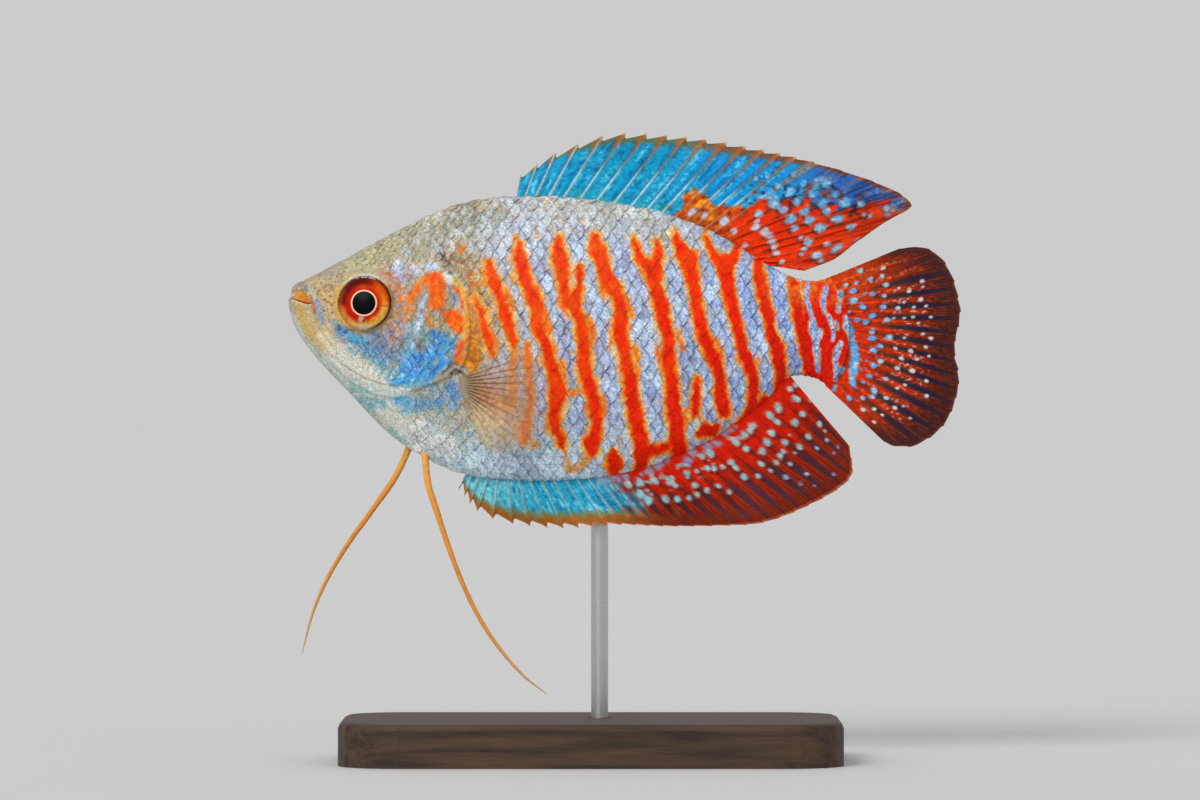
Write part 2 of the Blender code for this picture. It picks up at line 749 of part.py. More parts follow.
def make_fins():
    """Dorsal, anal, tail and pectoral fins."""
    dorsal_root = smooth_curve(DORSAL_ROOTS)
    anal_root = smooth_curve(ANAL_ROOTS)

    def on_back(ray):
        u = dorsal_root(ray)
        return u, back(u) + GAP

    def on_belly(ray):
        u = anal_root(ray)
        return u, belly(u) - GAP

    def on_stem(ray):
        v = TAIL_ROOT_SPAN[0] + (TAIL_ROOT_SPAN[1] - TAIL_ROOT_SPAN[0]) * ray / (TAIL_RAYS - 1)
        return tail_base(v) + GAP, v

    def on_flank(ray):
        share = ray / (PECTORAL_RAYS - 1)
        v = PECTORAL_ROOT_SPAN[0] + (PECTORAL_ROOT_SPAN[1] - PECTORAL_ROOT_SPAN[0]) * share
        return PECTORAL_ROOT_U, v

    ridged_fin("dorsal_fin", "dorsal_membrane", DORSAL_RAYS, on_back, tip_curves(DORSAL_TIPS),
               RIDGE_ROOT, middle_place)
    ridged_fin("anal_fin", "red_membrane", ANAL_RAYS, on_belly, tip_curves(ANAL_TIPS),
               RIDGE_ROOT, middle_place)
    ridged_fin("tail_fin", "red_membrane", TAIL_RAYS, on_stem, tip_curves(TAIL_TIPS),
               RIDGE_ROOT, middle_place)
    for name, side in (("pectoral_fin_left", -1), ("pectoral_fin_right", 1)):
        ridged_fin(name, "clear_membrane", PECTORAL_RAYS, on_flank, tip_curves(PECTORAL_TIPS),
                   PECTORAL_RIDGE_ROOT, pectoral_place(side))


def make_feeler(name, route, side):
    """Long thread of a pelvic fin, tapering to its tip."""
    points = spline(route, FEELER_POINTS)
    taper = smooth_curve(FEELER_RADII)
    radii = [taper(index / (FEELER_POINTS - 1)) for index in range(FEELER_POINTS)]
    places = [world(u, v, side * y) for u, v, y in points]
    part(name, "feeler", tube(name + "_work", places, radii))


def make_stand():
    """Flat base with a blind hole, and the rod between base and belly."""
    bm = bmesh.new()
    bmesh.ops.create_cube(bm, size=1.0)
    bmesh.ops.scale(bm, vec=Vector((BASE_LENGTH, BASE_DEPTH, BASE_HEIGHT)) * MM, verts=bm.verts)
    centre = Vector(((SNOUT_X + BASE_CENTRE_U) * MM, 0.0, BASE_HEIGHT / 2 * MM))
    bmesh.ops.translate(bm, vec=centre, verts=bm.verts)
    uprights = [edge for edge in bm.edges
                if abs(edge.verts[0].co.z - edge.verts[1].co.z) > BASE_HEIGHT / 2 * MM]
    bmesh.ops.bevel(bm, geom=uprights, offset=BASE_CORNER * MM, segments=BASE_CORNER_SEGMENTS,
                    profile=0.5, affect="EDGES")
    rims = [edge for edge in bm.edges if min(vert.co.z for vert in edge.verts) > centre.z]
    bmesh.ops.bevel(bm, geom=rims, offset=BASE_EDGE * MM, segments=BASE_EDGE_SEGMENTS,
                    profile=0.5, affect="EDGES")
    base = mesh_from(bm, "base_work")
    foot = world(ROD_U, 0, ROD_Y)
    low_z = BASE_HEIGHT - ROD_SEAT
    cut(base, "DIFFERENCE", rod("rod_hole", foot, ROD_RADIUS + GAP, low_z - GAP, FAR))
    keep_largest(base)
    part("stand_base", "base_wood", base)
    part("stand_rod", "rod_steel", rod("rod_work", foot, ROD_RADIUS, low_z, MOUTH_Z + ROD_TOP_V))


def make_fish():
    """Every part of the fish."""
    whole = body_loft("whole_body", 0.0, BODY_START, BODY_END, BODY_STATIONS, SNOUT_CROWDING)
    region = prism("head_area", head_region(-HALF_GAP))
    pocket_core = body_loft("pocket_core", COVER_THICKNESS + GAP, *CORE_SPAN, CORE_STATIONS)
    make_head(whole, region, pocket_core)
    make_jaw(whole)
    for side in (-1, 1):
        make_gill_cover(whole, region, side)
        eye = eyeball(f"eye_work_{side}", side)
        part("eye_left" if side < 0 else "eye_right", "eye", eye)
    make_trunk(whole)
    make_tail_stem(whole)
    make_fins()
    make_feeler("pelvic_feeler_left", LEFT_FEELER, -1)
    make_feeler("pelvic_feeler_right", RIGHT_FEELER, 1)


make_fish()
make_stand()
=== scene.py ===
"""Looks of the dwarf gourami: one skin, a coat of scales, fine fins, eyes and a small studio.

The fish is drawn in its own side view in millimetres, as in its solids: u runs back from
the snout, v runs up from the mouth, and y is its width, with the left side at -y. Its
markings are placed in the photograph's frame of 1200 by 800 pixels.
"""
import math

import bpy
import numpy as np
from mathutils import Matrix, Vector


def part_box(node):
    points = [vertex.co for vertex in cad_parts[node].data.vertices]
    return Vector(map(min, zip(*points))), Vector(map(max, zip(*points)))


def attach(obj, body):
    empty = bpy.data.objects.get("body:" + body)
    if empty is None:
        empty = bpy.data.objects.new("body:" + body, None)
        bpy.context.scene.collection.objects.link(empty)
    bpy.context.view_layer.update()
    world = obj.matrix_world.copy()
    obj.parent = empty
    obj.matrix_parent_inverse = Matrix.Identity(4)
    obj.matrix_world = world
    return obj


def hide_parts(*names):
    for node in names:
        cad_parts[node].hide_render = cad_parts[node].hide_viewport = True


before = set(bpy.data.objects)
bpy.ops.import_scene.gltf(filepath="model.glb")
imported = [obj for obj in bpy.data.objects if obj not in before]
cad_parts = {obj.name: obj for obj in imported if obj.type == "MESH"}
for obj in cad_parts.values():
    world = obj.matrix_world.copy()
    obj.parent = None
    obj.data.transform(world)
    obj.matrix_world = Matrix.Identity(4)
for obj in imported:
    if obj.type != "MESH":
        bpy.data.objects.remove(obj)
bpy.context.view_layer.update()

MM = 0.001
LEFT, RIGHT = -1, 1

# The rod's place in the fish drawing ties the drawing to the frame
ROD_U = 36.0
ROD_TOP_V = -13.5
ROD_LOW, ROD_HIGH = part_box("stand_rod")
SNOUT_X = (ROD_LOW.x + ROD_HIGH.x) / 2 / MM - ROD_U
MOUTH_Z = ROD_HIGH.z / MM - ROD_TOP_V

# The photograph: millimetres to a pixel, and the pixel of the drawing's origin
PHOTO_MM = 0.1159
PHOTO_ORIGIN = (289.0, 305.0)
PHOTO_CENTRE = (600.0, 400.0)

# Body outline: (u, height of back or belly, or half the width)
BACK = (
    (0.05, 0.1), (0.2, 0.9), (0.45, 1.9), (0.9, 2.5), (1.6, 2.85), (3.6, 3.8), (7.1, 5.7),
    (11.7, 8.3), (16.3, 10.5), (20.5, 12.0), (25.6, 12.65), (29.7, 12.7), (35.0, 12.3),
    (41.8, 11.2), (46.0, 9.9), (50.0, 8.1), (55.8, 4.6), (58.0, 3.45), (60.5, 2.85),
    (63.0, 3.35), (66.2, 4.6),
)
BELLY = (
    (0.05, -0.4), (0.2, -1.2), (0.5, -2.2), (1.5, -3.9), (3.6, -6.6), (7.1, -10.3),
    (11.7, -15.0), (16.3, -18.1), (20.0, -19.6), (23.5, -20.2), (29.7, -20.45), (35.5, -20.1),
    (40.7, -19.1), (45.3, -17.4), (50.0, -15.1), (54.6, -11.8), (58.9, -8.2), (61.0, -8.6),
    (63.5, -10.7), (66.2, -13.4),
)
HALF_WIDTH = (
    (0.05, 0.45), (0.3, 1.1), (1.5, 1.95), (3.6, 2.75), (7.1, 3.9), (11.7, 4.85), (16.3, 5.4),
    (22.0, 5.65), (27.0, 5.7), (33.7, 5.5), (41.8, 4.75), (49.4, 3.6), (55.8, 2.6), (59.2, 2.1),
    (62.9, 1.3), (66.2, 0.7),
)
LOWER_ROUNDNESS = ((0.0, 2.0), (15.0, 2.1), (28.0, 1.85), (50.0, 1.7), (66.2, 1.9))
UPPER_ROUNDNESS = 1.95
WIDEST_LEVEL = 0.54
STEM_START = 58.0
TAIL_BASE_BULGE = 64.9
TAIL_BASE_LEVEL = -3.1
TAIL_BASE_CURL = 0.055
MOUTH_LINE = ((-2.0, 0.85), (0.1, 0.72), (0.75, 0.56), (1.5, 0.28), (2.0, 0.13), (2.6, 0.1))

# Skin grid: (end of a stretch along u, spacing of its rings), points round a ring, finer
# points that measure it, and rounds that fit the last rings to the tail base
SKIN_STRETCHES = ((2.0, 0.09), (20.5, 0.13), (24.0, 0.2), (60.0, 0.42), (TAIL_BASE_BULGE, 0.3))
RING_POINTS = 336
FINE_RING = 1441
TAIL_BASE_ROUNDS = 6
COAT_DEPTH = 0.12

# Eyes: middle as (u, v), radii and depths, and points round a ring
EYE_CENTRE = (8.92, 0.17)
PUPIL_CENTRE = (8.86, 0.16)
EYE_RADIUS = 3.2
EYE_HALF_DEPTH = 1.6
EYE_SINK = 0.55
EYE_OPENING = 3.02
EYE_SIDES = 200

# Scales: pitch along the body and between rows, size of one at full pitch, how it stands
# out, how much it varies at random, rows and columns of its grid, and (u, share of
# full size)
SCALE_PITCH = 1.5
ROW_PITCH = 1.27
SCALE_HALF_HEIGHT = 1.34
SCALE_ROOT = -1.65
SCALE_SHOULDER = 0.3
SCALE_TIP = 1.22
SCALE_BODY = 0.3
SCALE_MARGIN = 0.25
SCALE_ROWS = 18
PLATE_TURN = 1.25
ROOT_CURVE = 0.3
SCALE_RISE = 0.2
SCALE_SINK = 0.08
SCALE_BOW = 0.02
SCALE_JITTER = 0.045
SCALE_SWELL = 0.03
SCALE_TILT = 0.012
HEAD_PLATE = (8, 9)
TRUNK_PLATE = (11, 15)
SCALE_SIZE = ((6.0, 0.45), (12.0, 0.55), (18.0, 0.8), (23.0, 1.0), (46.0, 1.0), (60.0, 0.8),
              (66.0, 0.7))

# Where scales begin and end: inside the outlines, along u, and at levels of v
HEAD_INSET = 0.35
COVER_INSET = 0.95
CHEEK_END = 13.0
NAPE_END, NAPE_LEVEL = 19.5, 2.0
TRUNK_START = 14.0
BREAST_END, BREAST_LEVEL = 17.0, -9.5
COAT_SPLIT = 38.0

# How far a scale's colours are pulled to its middle, and the size of its patch on the unwrap
SCALE_PULL = 0.14
PATCH_SIZE = 0.0015

# Fins: (ray number, u, v) of tips and (ray number, u) of roots, smooth between
ROOT_GAP = 0.3
DORSAL_RAYS = 24
DORSAL_ROOTS = ((0, 26.4), (2, 28.8), (11, 45.1), (15, 49.6), (23, 56.6))
DORSAL_TIPS = (
    (0, 26.8, 15.1), (2, 31.0, 17.8), (5, 39.1, 20.0), (8, 46.2, 19.6), (12, 55.1, 18.0),
    (15, 60.8, 16.6), (19, 72.2, 11.5), (20, 69.6, 9.9), (21, 66.4, 7.7), (22, 63.0, 5.2),
    (23, 59.7, 3.95),
)
ANAL_RAYS = 31
ANAL_ROOTS = ((0, 20.3), (2, 21.9), (12, 34.9), (16, 39.7), (30, 58.4))
ANAL_TIPS = (
    (0, 19.7, -21.3), (3, 21.8, -23.9), (5, 25.9, -25.4), (8, 31.8, -25.9), (12, 38.5, -25.5),
    (16, 45.0, -25.7), (20, 53.0, -25.5), (24, 60.2, -23.3), (28, 65.4, -19.2), (30, 65.0, -16.4),
)
TAIL_RAYS = 17
TAIL_ROOT_SPAN = (3.35, -9.85)
TAIL_TIPS = (
    (0, 70.8, 6.55), (0.5, 72.6, 6.78), (1, 74.2, 6.53), (1.5, 75.3, 5.8), (2, 76.1, 4.93),
    (3, 77.15, 2.78), (4, 77.6, 1.04), (5, 77.9, -0.7), (6, 77.7, -2.43), (7, 77.35, -4.06),
    (8, 77.3, -5.8), (9, 77.65, -7.42), (10, 77.75, -9.04), (11, 77.45, -10.66), (12, 76.9, -12.3),
    (13, 75.9, -14.0), (14, 74.3, -15.4), (15, 71.9, -16.45), (15.5, 70.4, -16.45), (16, 68.9, -15.8),
)
PECTORAL_RAYS = 15
PECTORAL_ROOT_SPAN = (-8.1, -11.5)
PECTORAL_ROOT_U = 20.7
PECTORAL_TIPS = (
    (0, 28.2, -4.4), (3.1, 30.2, -8.0), (6.2, 30.0, -11.9), (9.3, 28.3, -15.9),
    (12.4, 24.0, -17.6), (14, 21.9, -16.5),
)
PECTORAL_SLOPE = 0.5
PECTORAL_GAP = 0.2
WAVE_HEIGHT = 0.9
WAVE_LENGTH = 19.0
WAVE_START = 11.75
WAVE_LEAN = 0.4
FIN_SINK = 0.8

# Build of fins: sheet, what its root adds and how fast that fades; height of rays and what
# they lose to the tip; half width of rays and what they lose
STOUT_FIN = ((0.055, 0.3, 0.05), (0.2, 0.13), (0.17, 0.05))
FINE_FIN = ((0.05, 0.26, 0.05), (0.13, 0.08), (0.13, 0.06))
THIN_FIN = ((0.03, 0.16, 0.06), (0.09, 0.06), (0.08, 0.02))
MARGIN_THICKNESS = 0.35

# Grids of fins: columns to a ray, and rows
DORSAL_GRID = (10, 84)
ANAL_GRID = (9, 64)
TAIL_GRID = (14, 84)
PECTORAL_GRID = (14, 64)

# Branches of a soft ray and its fork before them, and width of a ray at a notch, in rays
BRANCHES = (-0.3, -0.1, 0.1, 0.3)
FORK = 0.2
SPINE_WIDTH = 0.09

# Pelvic feelers: (u, v, distance from the middle plane)
LEFT_FEELER = (
    (15.75, -16.9, 1.3), (16.1, -20.3, 1.8), (17.2, -23.9, 2.3), (18.5, -27.8, 2.8),
    (20.2, -32.2, 3.4), (22.4, -36.6, 4.0), (25.0, -40.3, 4.5), (27.4, -42.9, 4.9),
    (30.0, -44.9, 5.2),
)
RIGHT_FEELER = (
    (14.2, -15.8, 1.3), (12.4, -19.7, 1.9), (9.5, -23.9, 2.5), (6.7, -27.8, 3.0),
    (4.2, -32.0, 3.6), (2.5, -36.0, 4.2), (1.3, -40.6, 4.7),
)
FEELER_RADIUS = ((0.0, 0.44), (0.3, 0.33), (0.6, 0.25), (0.85, 0.16), (1.0, 0.05))
FEELER_GRID = (110, 12)

# Relief of the head: (height, middle above the mouth line, half width), and other heights
UPPER_LIP = (0.16, 1.1, 0.55)
LOWER_LIP = (0.2, -0.2, 0.45)
MOUTH_GAP = (0.3, 0.05, 0.07)
WEDGE_DEPTH = 0.26
PORE_DEPTH = 0.09
COVER_HEIGHT = 0.3
COVER_FOLD = (0.1, 0.28, 0.2)
EYE_RINGS = ((0.16, 3.2, 0.17), (-0.05, 3.62, 0.2))
SOCKET_DEPTH = 0.75

# Seeded noise: its table, and the seeds and strength of the body's paint and grain
NOISE_CELLS = 4096
NOISE_PRIMES = (73856093, 19349663)
BODY_SEED = 41
GRAIN_SEED = 43
BODY_GRAIN = 0.16
FIN_GRAIN_SEED = 61
FIN_GRAIN = 0.14

# Spots of the fins: how much longer and narrower than round, and how soft their edges are
SPOT_LENGTHENING = 0.84
SPOT_NARROWING = 1.1
SPOT_SOFTNESS = 0.4

# Edges of a piece sharper than this stay sharp
SHARP_ANGLE = math.radians(60)

# Depths and sizes in the materials
GRAIN_DEPTH = 0.03
PEBBLE_SIZE = 0.34
PEBBLE_DEPTH = 0.05
WOOD_GRAIN_DEPTH = 0.1

# Studio: floor, brightness, the soft light's place in degrees, and the camera
FLOOR_HALF = 6.0
SURROUND_TONE = 0.6
KEY_ON_FLOOR = 0.25
FLOOR_TONE = SURROUND_TONE / (SURROUND_TONE + KEY_ON_FLOOR)
FLOOR_MOTTLE = 0.02
KEY_AZIMUTH = -28.0
KEY_ELEVATION = 32.0
KEY_SPREAD = 25.0
LENS = 200.0
SENSOR = 36.0

# Colours, as red, green and blue out of 255
TONES = {
    "lavender": (172, 188, 218), "sky": (122, 158, 230), "back": (196, 192, 168),
    "ice": (200, 222, 246), "belly": (180, 203, 218), "cream": (220, 216, 204),
    "white": (226, 230, 238), "olive": (188, 184, 152), "beige": (196, 178, 142),
    "mauve": (160, 146, 140), "tan": (205, 176, 122), "ochre": (214, 168, 84),
    "brown": (134, 92, 60), "dark": (70, 56, 58), "rust": (190, 96, 40),
    "orange": (240, 132, 34), "amber": (248, 140, 30), "flame": (255, 84, 2), "peach": (248, 182, 98),
    "red": (250, 44, 0), "deep_red": (228, 16, 0), "blue": (62, 142, 218),
    "bright_blue": (40, 124, 214), "cyan": (76, 172, 214), "steel": (132, 152, 186),
    "copper": (214, 124, 28), "gold": (255, 172, 40), "dusky_blue": (92, 108, 164),
    "teal": (96, 168, 180), "pink": (222, 150, 124), "lemon": (226, 204, 96),
    "slate": (92, 92, 112), "azure": (84, 152, 236), "jaw": (198, 168, 116), "throat": (190, 202, 196),
    "sand": (196, 168, 132), "violet": (158, 150, 190), "dusk": (44, 44, 58),
    "khaki": (178, 168, 138), "sienna": (178, 108, 60), "ink": (52, 62, 96), "grey": (136, 134, 134),
}


def smooth_curve(points):
    """Function through the (x, value) points that never overshoots, for numbers or arrays."""
    xs, values = np.array(points, float).T
    steps = np.diff(xs)
    rises = np.diff(values) / steps
    product = rises[:-1] * rises[1:]
    total = np.where(product > 0, rises[:-1] + rises[1:], 1.0)
    inner = np.where(product > 0, 2 * product / total, 0.0)
    slopes = np.concatenate(([rises[0]], inner, [rises[-1]]))

    def value_at(x):
        x = np.clip(x, xs[0], xs[-1])
        index = np.clip(np.searchsorted(xs, x) - 1, 0, len(steps) - 1)
        step = steps[index]
        t = (x - xs[index]) / step
        rise = values[index + 1] - values[index]
        bend = (slopes[index] * (1 - t) - slopes[index + 1] * t) * step + rise * (2 * t - 1)
        return values[index] + rise * t + t * (1 - t) * bend

    return value_at


def ramp(low, high, x):
    """0 below low, 1 above high and smooth between; low may be the larger one."""
    t = np.clip((x - low) / (high - low), 0.0, 1.0)
    return t * t * (3 - 2 * t)


def peak(x, centre, width):
    """Bell curve, 1 at its centre."""
    return np.exp(-((x - centre) / width) ** 2)


def noise(seed, *axes):
    """Smooth noise from -1 to 1 over two axes, one cell to a unit."""
    table = np.random.default_rng(seed).uniform(-1.0, 1.0, NOISE_CELLS)
    cells = [np.floor(axis).astype(np.int64) for axis in axes]
    shares = [ramp(0.0, 1.0, axis - cell) for axis, cell in zip(axes, cells)]
    total = 0.0
    for corner in range(2 ** len(axes)):
        weight = 1.0
        code = np.zeros(np.shape(cells[0]), np.int64)
        for index, (cell, share) in enumerate(zip(cells, shares)):
            bit = corner >> index & 1
            weight = weight * (share if bit else 1 - share)
            code ^= (cell + bit) * NOISE_PRIMES[index]
        code ^= code >> 15
        total = total + weight * table[code % NOISE_CELLS]
    return total


def layered_noise(seed, size, *axes):
    """Two layers of noise, the larger one with cells of the given size."""
    coarse = noise(seed, *[axis / size for axis in axes])
    fine = noise(seed + 1, *[axis / size * 2.3 for axis in axes])
    return (coarse + 0.5 * fine) / 1.5


def colour_of(value):
    """Colour from 0 to 1 of a tone's name, of numbers out of 255, or of a ready array."""
    if isinstance(value, str):
        value = TONES[value]
    return np.array(value) / 255 if isinstance(value, tuple) else value


def mix(first, second, share):
    """Blend of two colours by a share for each point."""
    first = colour_of(first)
    return first + (colour_of(second) - first) * np.asarray(share)[..., None]


def layered(colour, *layers):
    """Colour with (colour, share) layers laid over it one after another."""
    for tint, share in layers:
        colour = mix(colour, tint, share)
    return colour


def to_linear(colour):
    """Linear light of display colours."""
    colour = np.clip(colour, 0.0, 1.0)
    return np.where(colour <= 0.04045, colour / 12.92, ((colour + 0.055) / 1.055) ** 2.4)


def photo(points):
    """Positions in the fish drawing of points that start with x and y in the photograph."""
    return [((x - PHOTO_ORIGIN[0]) * PHOTO_MM, (PHOTO_ORIGIN[1] - y) * PHOTO_MM)
            for x, y, *_ in points]


def line_distance(u, v, line, reach):
    """Distance to a line, where under reach, and how far along it the nearest point is."""
    distance = np.full(u.shape, reach)
    along = np.zeros(u.shape)
    ends = np.array(line, float)
    low, high = ends.min(0) - reach, ends.max(0) + reach
    near = (u > low[0]) & (u < high[0]) & (v > low[1]) & (v < high[1])
    if not near.any():
        return distance, along
    nu, nv = u[near], v[near]
    best = np.full(nu.shape, reach)
    place = np.zeros(nu.shape)
    count = len(ends) - 1
    for index in range(count):
        start, step = ends[index], ends[index + 1] - ends[index]
        length = max(step @ step, 1e-9)
        t = np.clip(((nu - start[0]) * step[0] + (nv - start[1]) * step[1]) / length, 0, 1)
        gap = np.hypot(nu - start[0] - t * step[0], nv - start[1] - t * step[1])
        closer = gap < best
        best = np.where(closer, gap, best)
        place = np.where(closer, (index + t) / count, place)
    distance[near] = best
    along[near] = place
    return distance, along


def outline_distance(u, v, outline, reach):
    """Distance to a closed outline, where under reach."""
    return line_distance(u, v, outline + outline[:1], reach)[0]


def inside(u, v, outline):
    """Whether points lie inside a closed outline."""
    result = np.zeros(u.shape, bool)
    for (u0, v0), (u1, v1) in zip(outline, outline[1:] + outline[:1]):
        if v0 == v1:
            continue
        crosses = (v0 > v) != (v1 > v)
        result ^= crosses & (u < (u1 - u0) * (v - v0) / (v1 - v0) + u0)
    return result


def around(u, v, centre):
    """Distance and angle of points round a centre."""
    across, up = u - centre[0], v - centre[1]
    return np.hypot(across, up), np.arctan2(up, across)


def facing(angle, degrees, low, high):
    """1 where an angle points towards a direction, by the cosine between the two."""
    return ramp(low, high, np.cos(angle - math.radians(degrees)))


back = smooth_curve(BACK)
belly = smooth_curve(BELLY)
half_width = smooth_curve(HALF_WIDTH)
lower_roundness = smooth_curve(LOWER_ROUNDNESS)
mouth_line = smooth_curve(MOUTH_LINE)
scale_size = smooth_curve(SCALE_SIZE)


def body_section(u):
    """Top, bottom, widest level and half width of the body at u."""
    top, bottom = back(u), belly(u)
    return top, bottom, bottom + WIDEST_LEVEL * (top - bottom), half_width(u)


def body_height(u, v):
    """Share of the way from the belly's edge up to the back's."""
    return (v - belly(u)) / (back(u) - belly(u))


def flank(u, v):
    """Distance of the body's surface from the middle plane at (u, v)."""
    top, bottom, level, half = body_section(u)
    reach = np.where(v > level, top - level, level - bottom)
    power = np.where(v > level, UPPER_ROUNDNESS, lower_roundness(u))
    share = np.minimum(np.abs(v - level) / reach, 1.0)
    return half * (1 - share ** power) ** (1 / power)


def body_ring(u, angle):
    """(y, v) of the section at u; the angle runs from -90 degrees, the belly, up the left."""
    top, bottom, level, half = body_section(u)
    across, up = -np.cos(angle), np.sin(angle)
    power = np.where(up > 0, 2 / UPPER_ROUNDNESS, 2 / lower_roundness(u))
    reach = np.where(up > 0, top - level, level - bottom)
    y = np.sign(across) * np.abs(across) ** power * half
    return y, level + np.sign(up) * np.abs(up) ** power * reach


def tail_base(v):
    """Distance along u of the rounded rear edge of the tail stem at height v."""
    return TAIL_BASE_BULGE - TAIL_BASE_CURL * (v - TAIL_BASE_LEVEL) ** 2


def unit(vectors):
    """Vectors of length 1."""
    return vectors / np.maximum(np.linalg.norm(vectors, axis=-1, keepdims=True), 1e-12)


def normals_of(grid, wrap):
    """Unit normals of a grid of points; wrap where its second axis is closed."""
    across = np.roll(grid, -1, 1) - np.roll(grid, 1, 1) if wrap else np.gradient(grid, axis=1)
    return unit(np.cross(np.gradient(grid, axis=0), across))


def skin_stations():
    """Places of the skin's rings along u."""
    places = [BACK[0][0]]
    for end, spacing in SKIN_STRETCHES:
        count = max(int(round((end - places[-1]) / spacing)), 1)
        start = places[-1]
        places += [start + (end - start) * (index + 1) / count for index in range(count)]
    return np.array(places)


STATIONS = skin_stations()


def bare_body():
    """Grid of the body's points (u, y, v), evenly spread round each ring, and arc lengths.

    Returns the grid, each ring's length and the length from the belly to the widest level.
    """
    fine = np.linspace(-math.pi / 2, 3 * math.pi / 2, FINE_RING)
    angles = np.zeros((len(STATIONS), RING_POINTS))
    lengths = np.zeros(len(STATIONS))
    level_lengths = np.zeros(len(STATIONS))
    shares = np.arange(RING_POINTS) / RING_POINTS
    for index, u in enumerate(STATIONS):
        y, v = body_ring(u, fine)
        arcs = np.concatenate(([0.0], np.cumsum(np.hypot(np.diff(y), np.diff(v)))))
        lengths[index] = arcs[-1]
        level_lengths[index] = np.interp(0.0, fine, arcs)
        angles[index] = np.interp(shares * arcs[-1], arcs, fine)
    along = np.repeat(STATIONS[:, None], RING_POINTS, 1)
    share = np.clip((along - STEM_START) / (TAIL_BASE_BULGE - STEM_START), 0.0, 1.0)
    u = along
    for _ in range(TAIL_BASE_ROUNDS):
        v = body_ring(u, angles)[1]
        u = np.where(share > 0, STEM_START + share * (tail_base(v) - STEM_START), along)
    y, v = body_ring(u, angles)
    return np.stack([u, y, v], -1), lengths, level_lengths


# Gill cover's free edge, from its top down the rear and forward along the bottom
COVER_EDGE = photo((
    (436, 262), (444, 268), (453, 277), (463, 291), (469, 308), (471, 328), (470, 346),
    (466, 361), (460, 371), (448, 377), (430, 385), (410, 391), (388, 391), (365, 384),
))
COVER_AREA = COVER_EDGE + photo(((343, 371), (372, 300), (410, 262)))

# Where the head carries scales, as one closed outline
SCALED_HEAD = photo((
    (352, 262), (372, 230), (412, 205), (470, 180), (470, 300), (462, 330), (462, 350),
    (452, 366), (428, 378), (396, 381), (368, 372), (346, 350), (350, 338), (372, 336),
    (392, 322), (399, 302), (395, 282), (380, 268),
))

# Inner side of the upper lip, seen in the open corner of the mouth, as a closed outline
MOUTH_WEDGE = photo((
    (294.6, 292), (298, 290.6), (301.5, 290.8), (305.4, 293.6), (308.4, 298), (311, 303),
    (306.5, 303.2), (302, 301.4), (297, 299.4), (294, 298),
))

# Raised and sunken lines of the skin: (height, half width, points), in mm and pixels
RELIEF = (
    (0.10, 0.28, ((309, 288), (314, 297), (320, 312), (325, 324))),
    (-0.10, 0.10, ((305, 287), (310, 298), (315, 311), (321, 326))),
    (-0.07, 0.09, ((314, 288), (320, 299), (326, 312), (331, 324))),
    (-0.12, 0.12, ((302, 279), (303, 284), (306, 288), (310, 294), (313, 302))),
    (-0.16, 0.11, ((311, 305), (314, 313), (318, 324), (326, 338), (338, 352))),
    (-0.10, 0.11, ((302, 330), (311, 345), (326, 362))),
    (0.09, 0.35, ((306, 322), (318, 344), (336, 364), (356, 380))),
    (-0.17, 0.12, ((322, 347), (341, 364), (365, 379), (389, 386), (413, 389), (433, 383))),
    (-0.13, 0.11, ((328, 362), (350, 382), (374, 395), (398, 400), (420, 398))),
    (-0.08, 0.10, ((350, 388), (364, 397), (384, 405))),
    (0.09, 0.30, ((340, 372), (362, 388), (388, 396), (414, 395))),
    (-0.10, 0.20, ((399, 268), (404, 285), (404, 305), (398, 326), (386, 348), (366, 364))),
    (0.07, 0.32, ((409, 270), (413, 290), (412, 312), (404, 338), (388, 360))),
    (-0.08, 0.14, ((384, 340), (362, 346), (344, 340), (334, 326))),
    (-0.05, 0.12, ((300, 283), (314, 279), (330, 271))),
    (-0.20, 0.16, ((438, 253), (444, 259), (451, 267))),
    (-0.12, 0.12, ((452, 370), (458, 366), (464, 370))),
    (0.16, 0.45, ((463, 378), (464, 392), (463, 403))),
)
PORES = ((315.4, 288.6), (319.8, 291.6), (324.4, 300.7), (328.6, 302.2), (326.3, 299.6),
         (331.4, 296.8), (332.5, 305.3), (325, 311), (336, 282), (322, 283), (345, 272),
         (357, 264), (372, 262), (333, 313))
NOSTRILS = ((4.65, 1.95, 0.54, 0.4), (5.95, 3.3, 0.34, 0.3))


def cover_distance(u, v):
    """Signed distance from the gill cover's free edge, negative on the cover."""
    distance, along = line_distance(u, v, COVER_EDGE, 6.0)
    return np.where(inside(u, v, COVER_AREA), -distance, distance), along


def line_relief(u, v, height, width, points):
    """One raised or sunken line that fades out at its ends."""
    edge = 4 * width
    distance, along = line_distance(u, v, photo(points), edge)
    fade = ramp(0.0, 0.15, along) * ramp(1.0, 0.85, along)
    return np.where(distance < edge, height * peak(distance, 0.0, width) * fade, 0.0)


def area_amount(u, v, outline, softness):
    """1 inside a closed outline, falling to 0 just outside it."""
    distance = outline_distance(u, v, outline, 2 * softness)
    return np.where(inside(u, v, outline), 1.0, ramp(softness, 0.0, distance))


def nostril_radii(u, v):
    """Distance from the middle of each nostril, 1 on its rim."""
    return [np.hypot((u - middle_u) / long_radius, (v - middle_v) / short_radius)
            for middle_u, middle_v, long_radius, short_radius in NOSTRILS]


def pore_amount(u, v, width):
    """Bell curves at the pores of the head, one array for each pore."""
    return [peak(np.hypot(u - pore_u, v - pore_v), 0.0, width) for pore_u, pore_v in photo(PORES)]


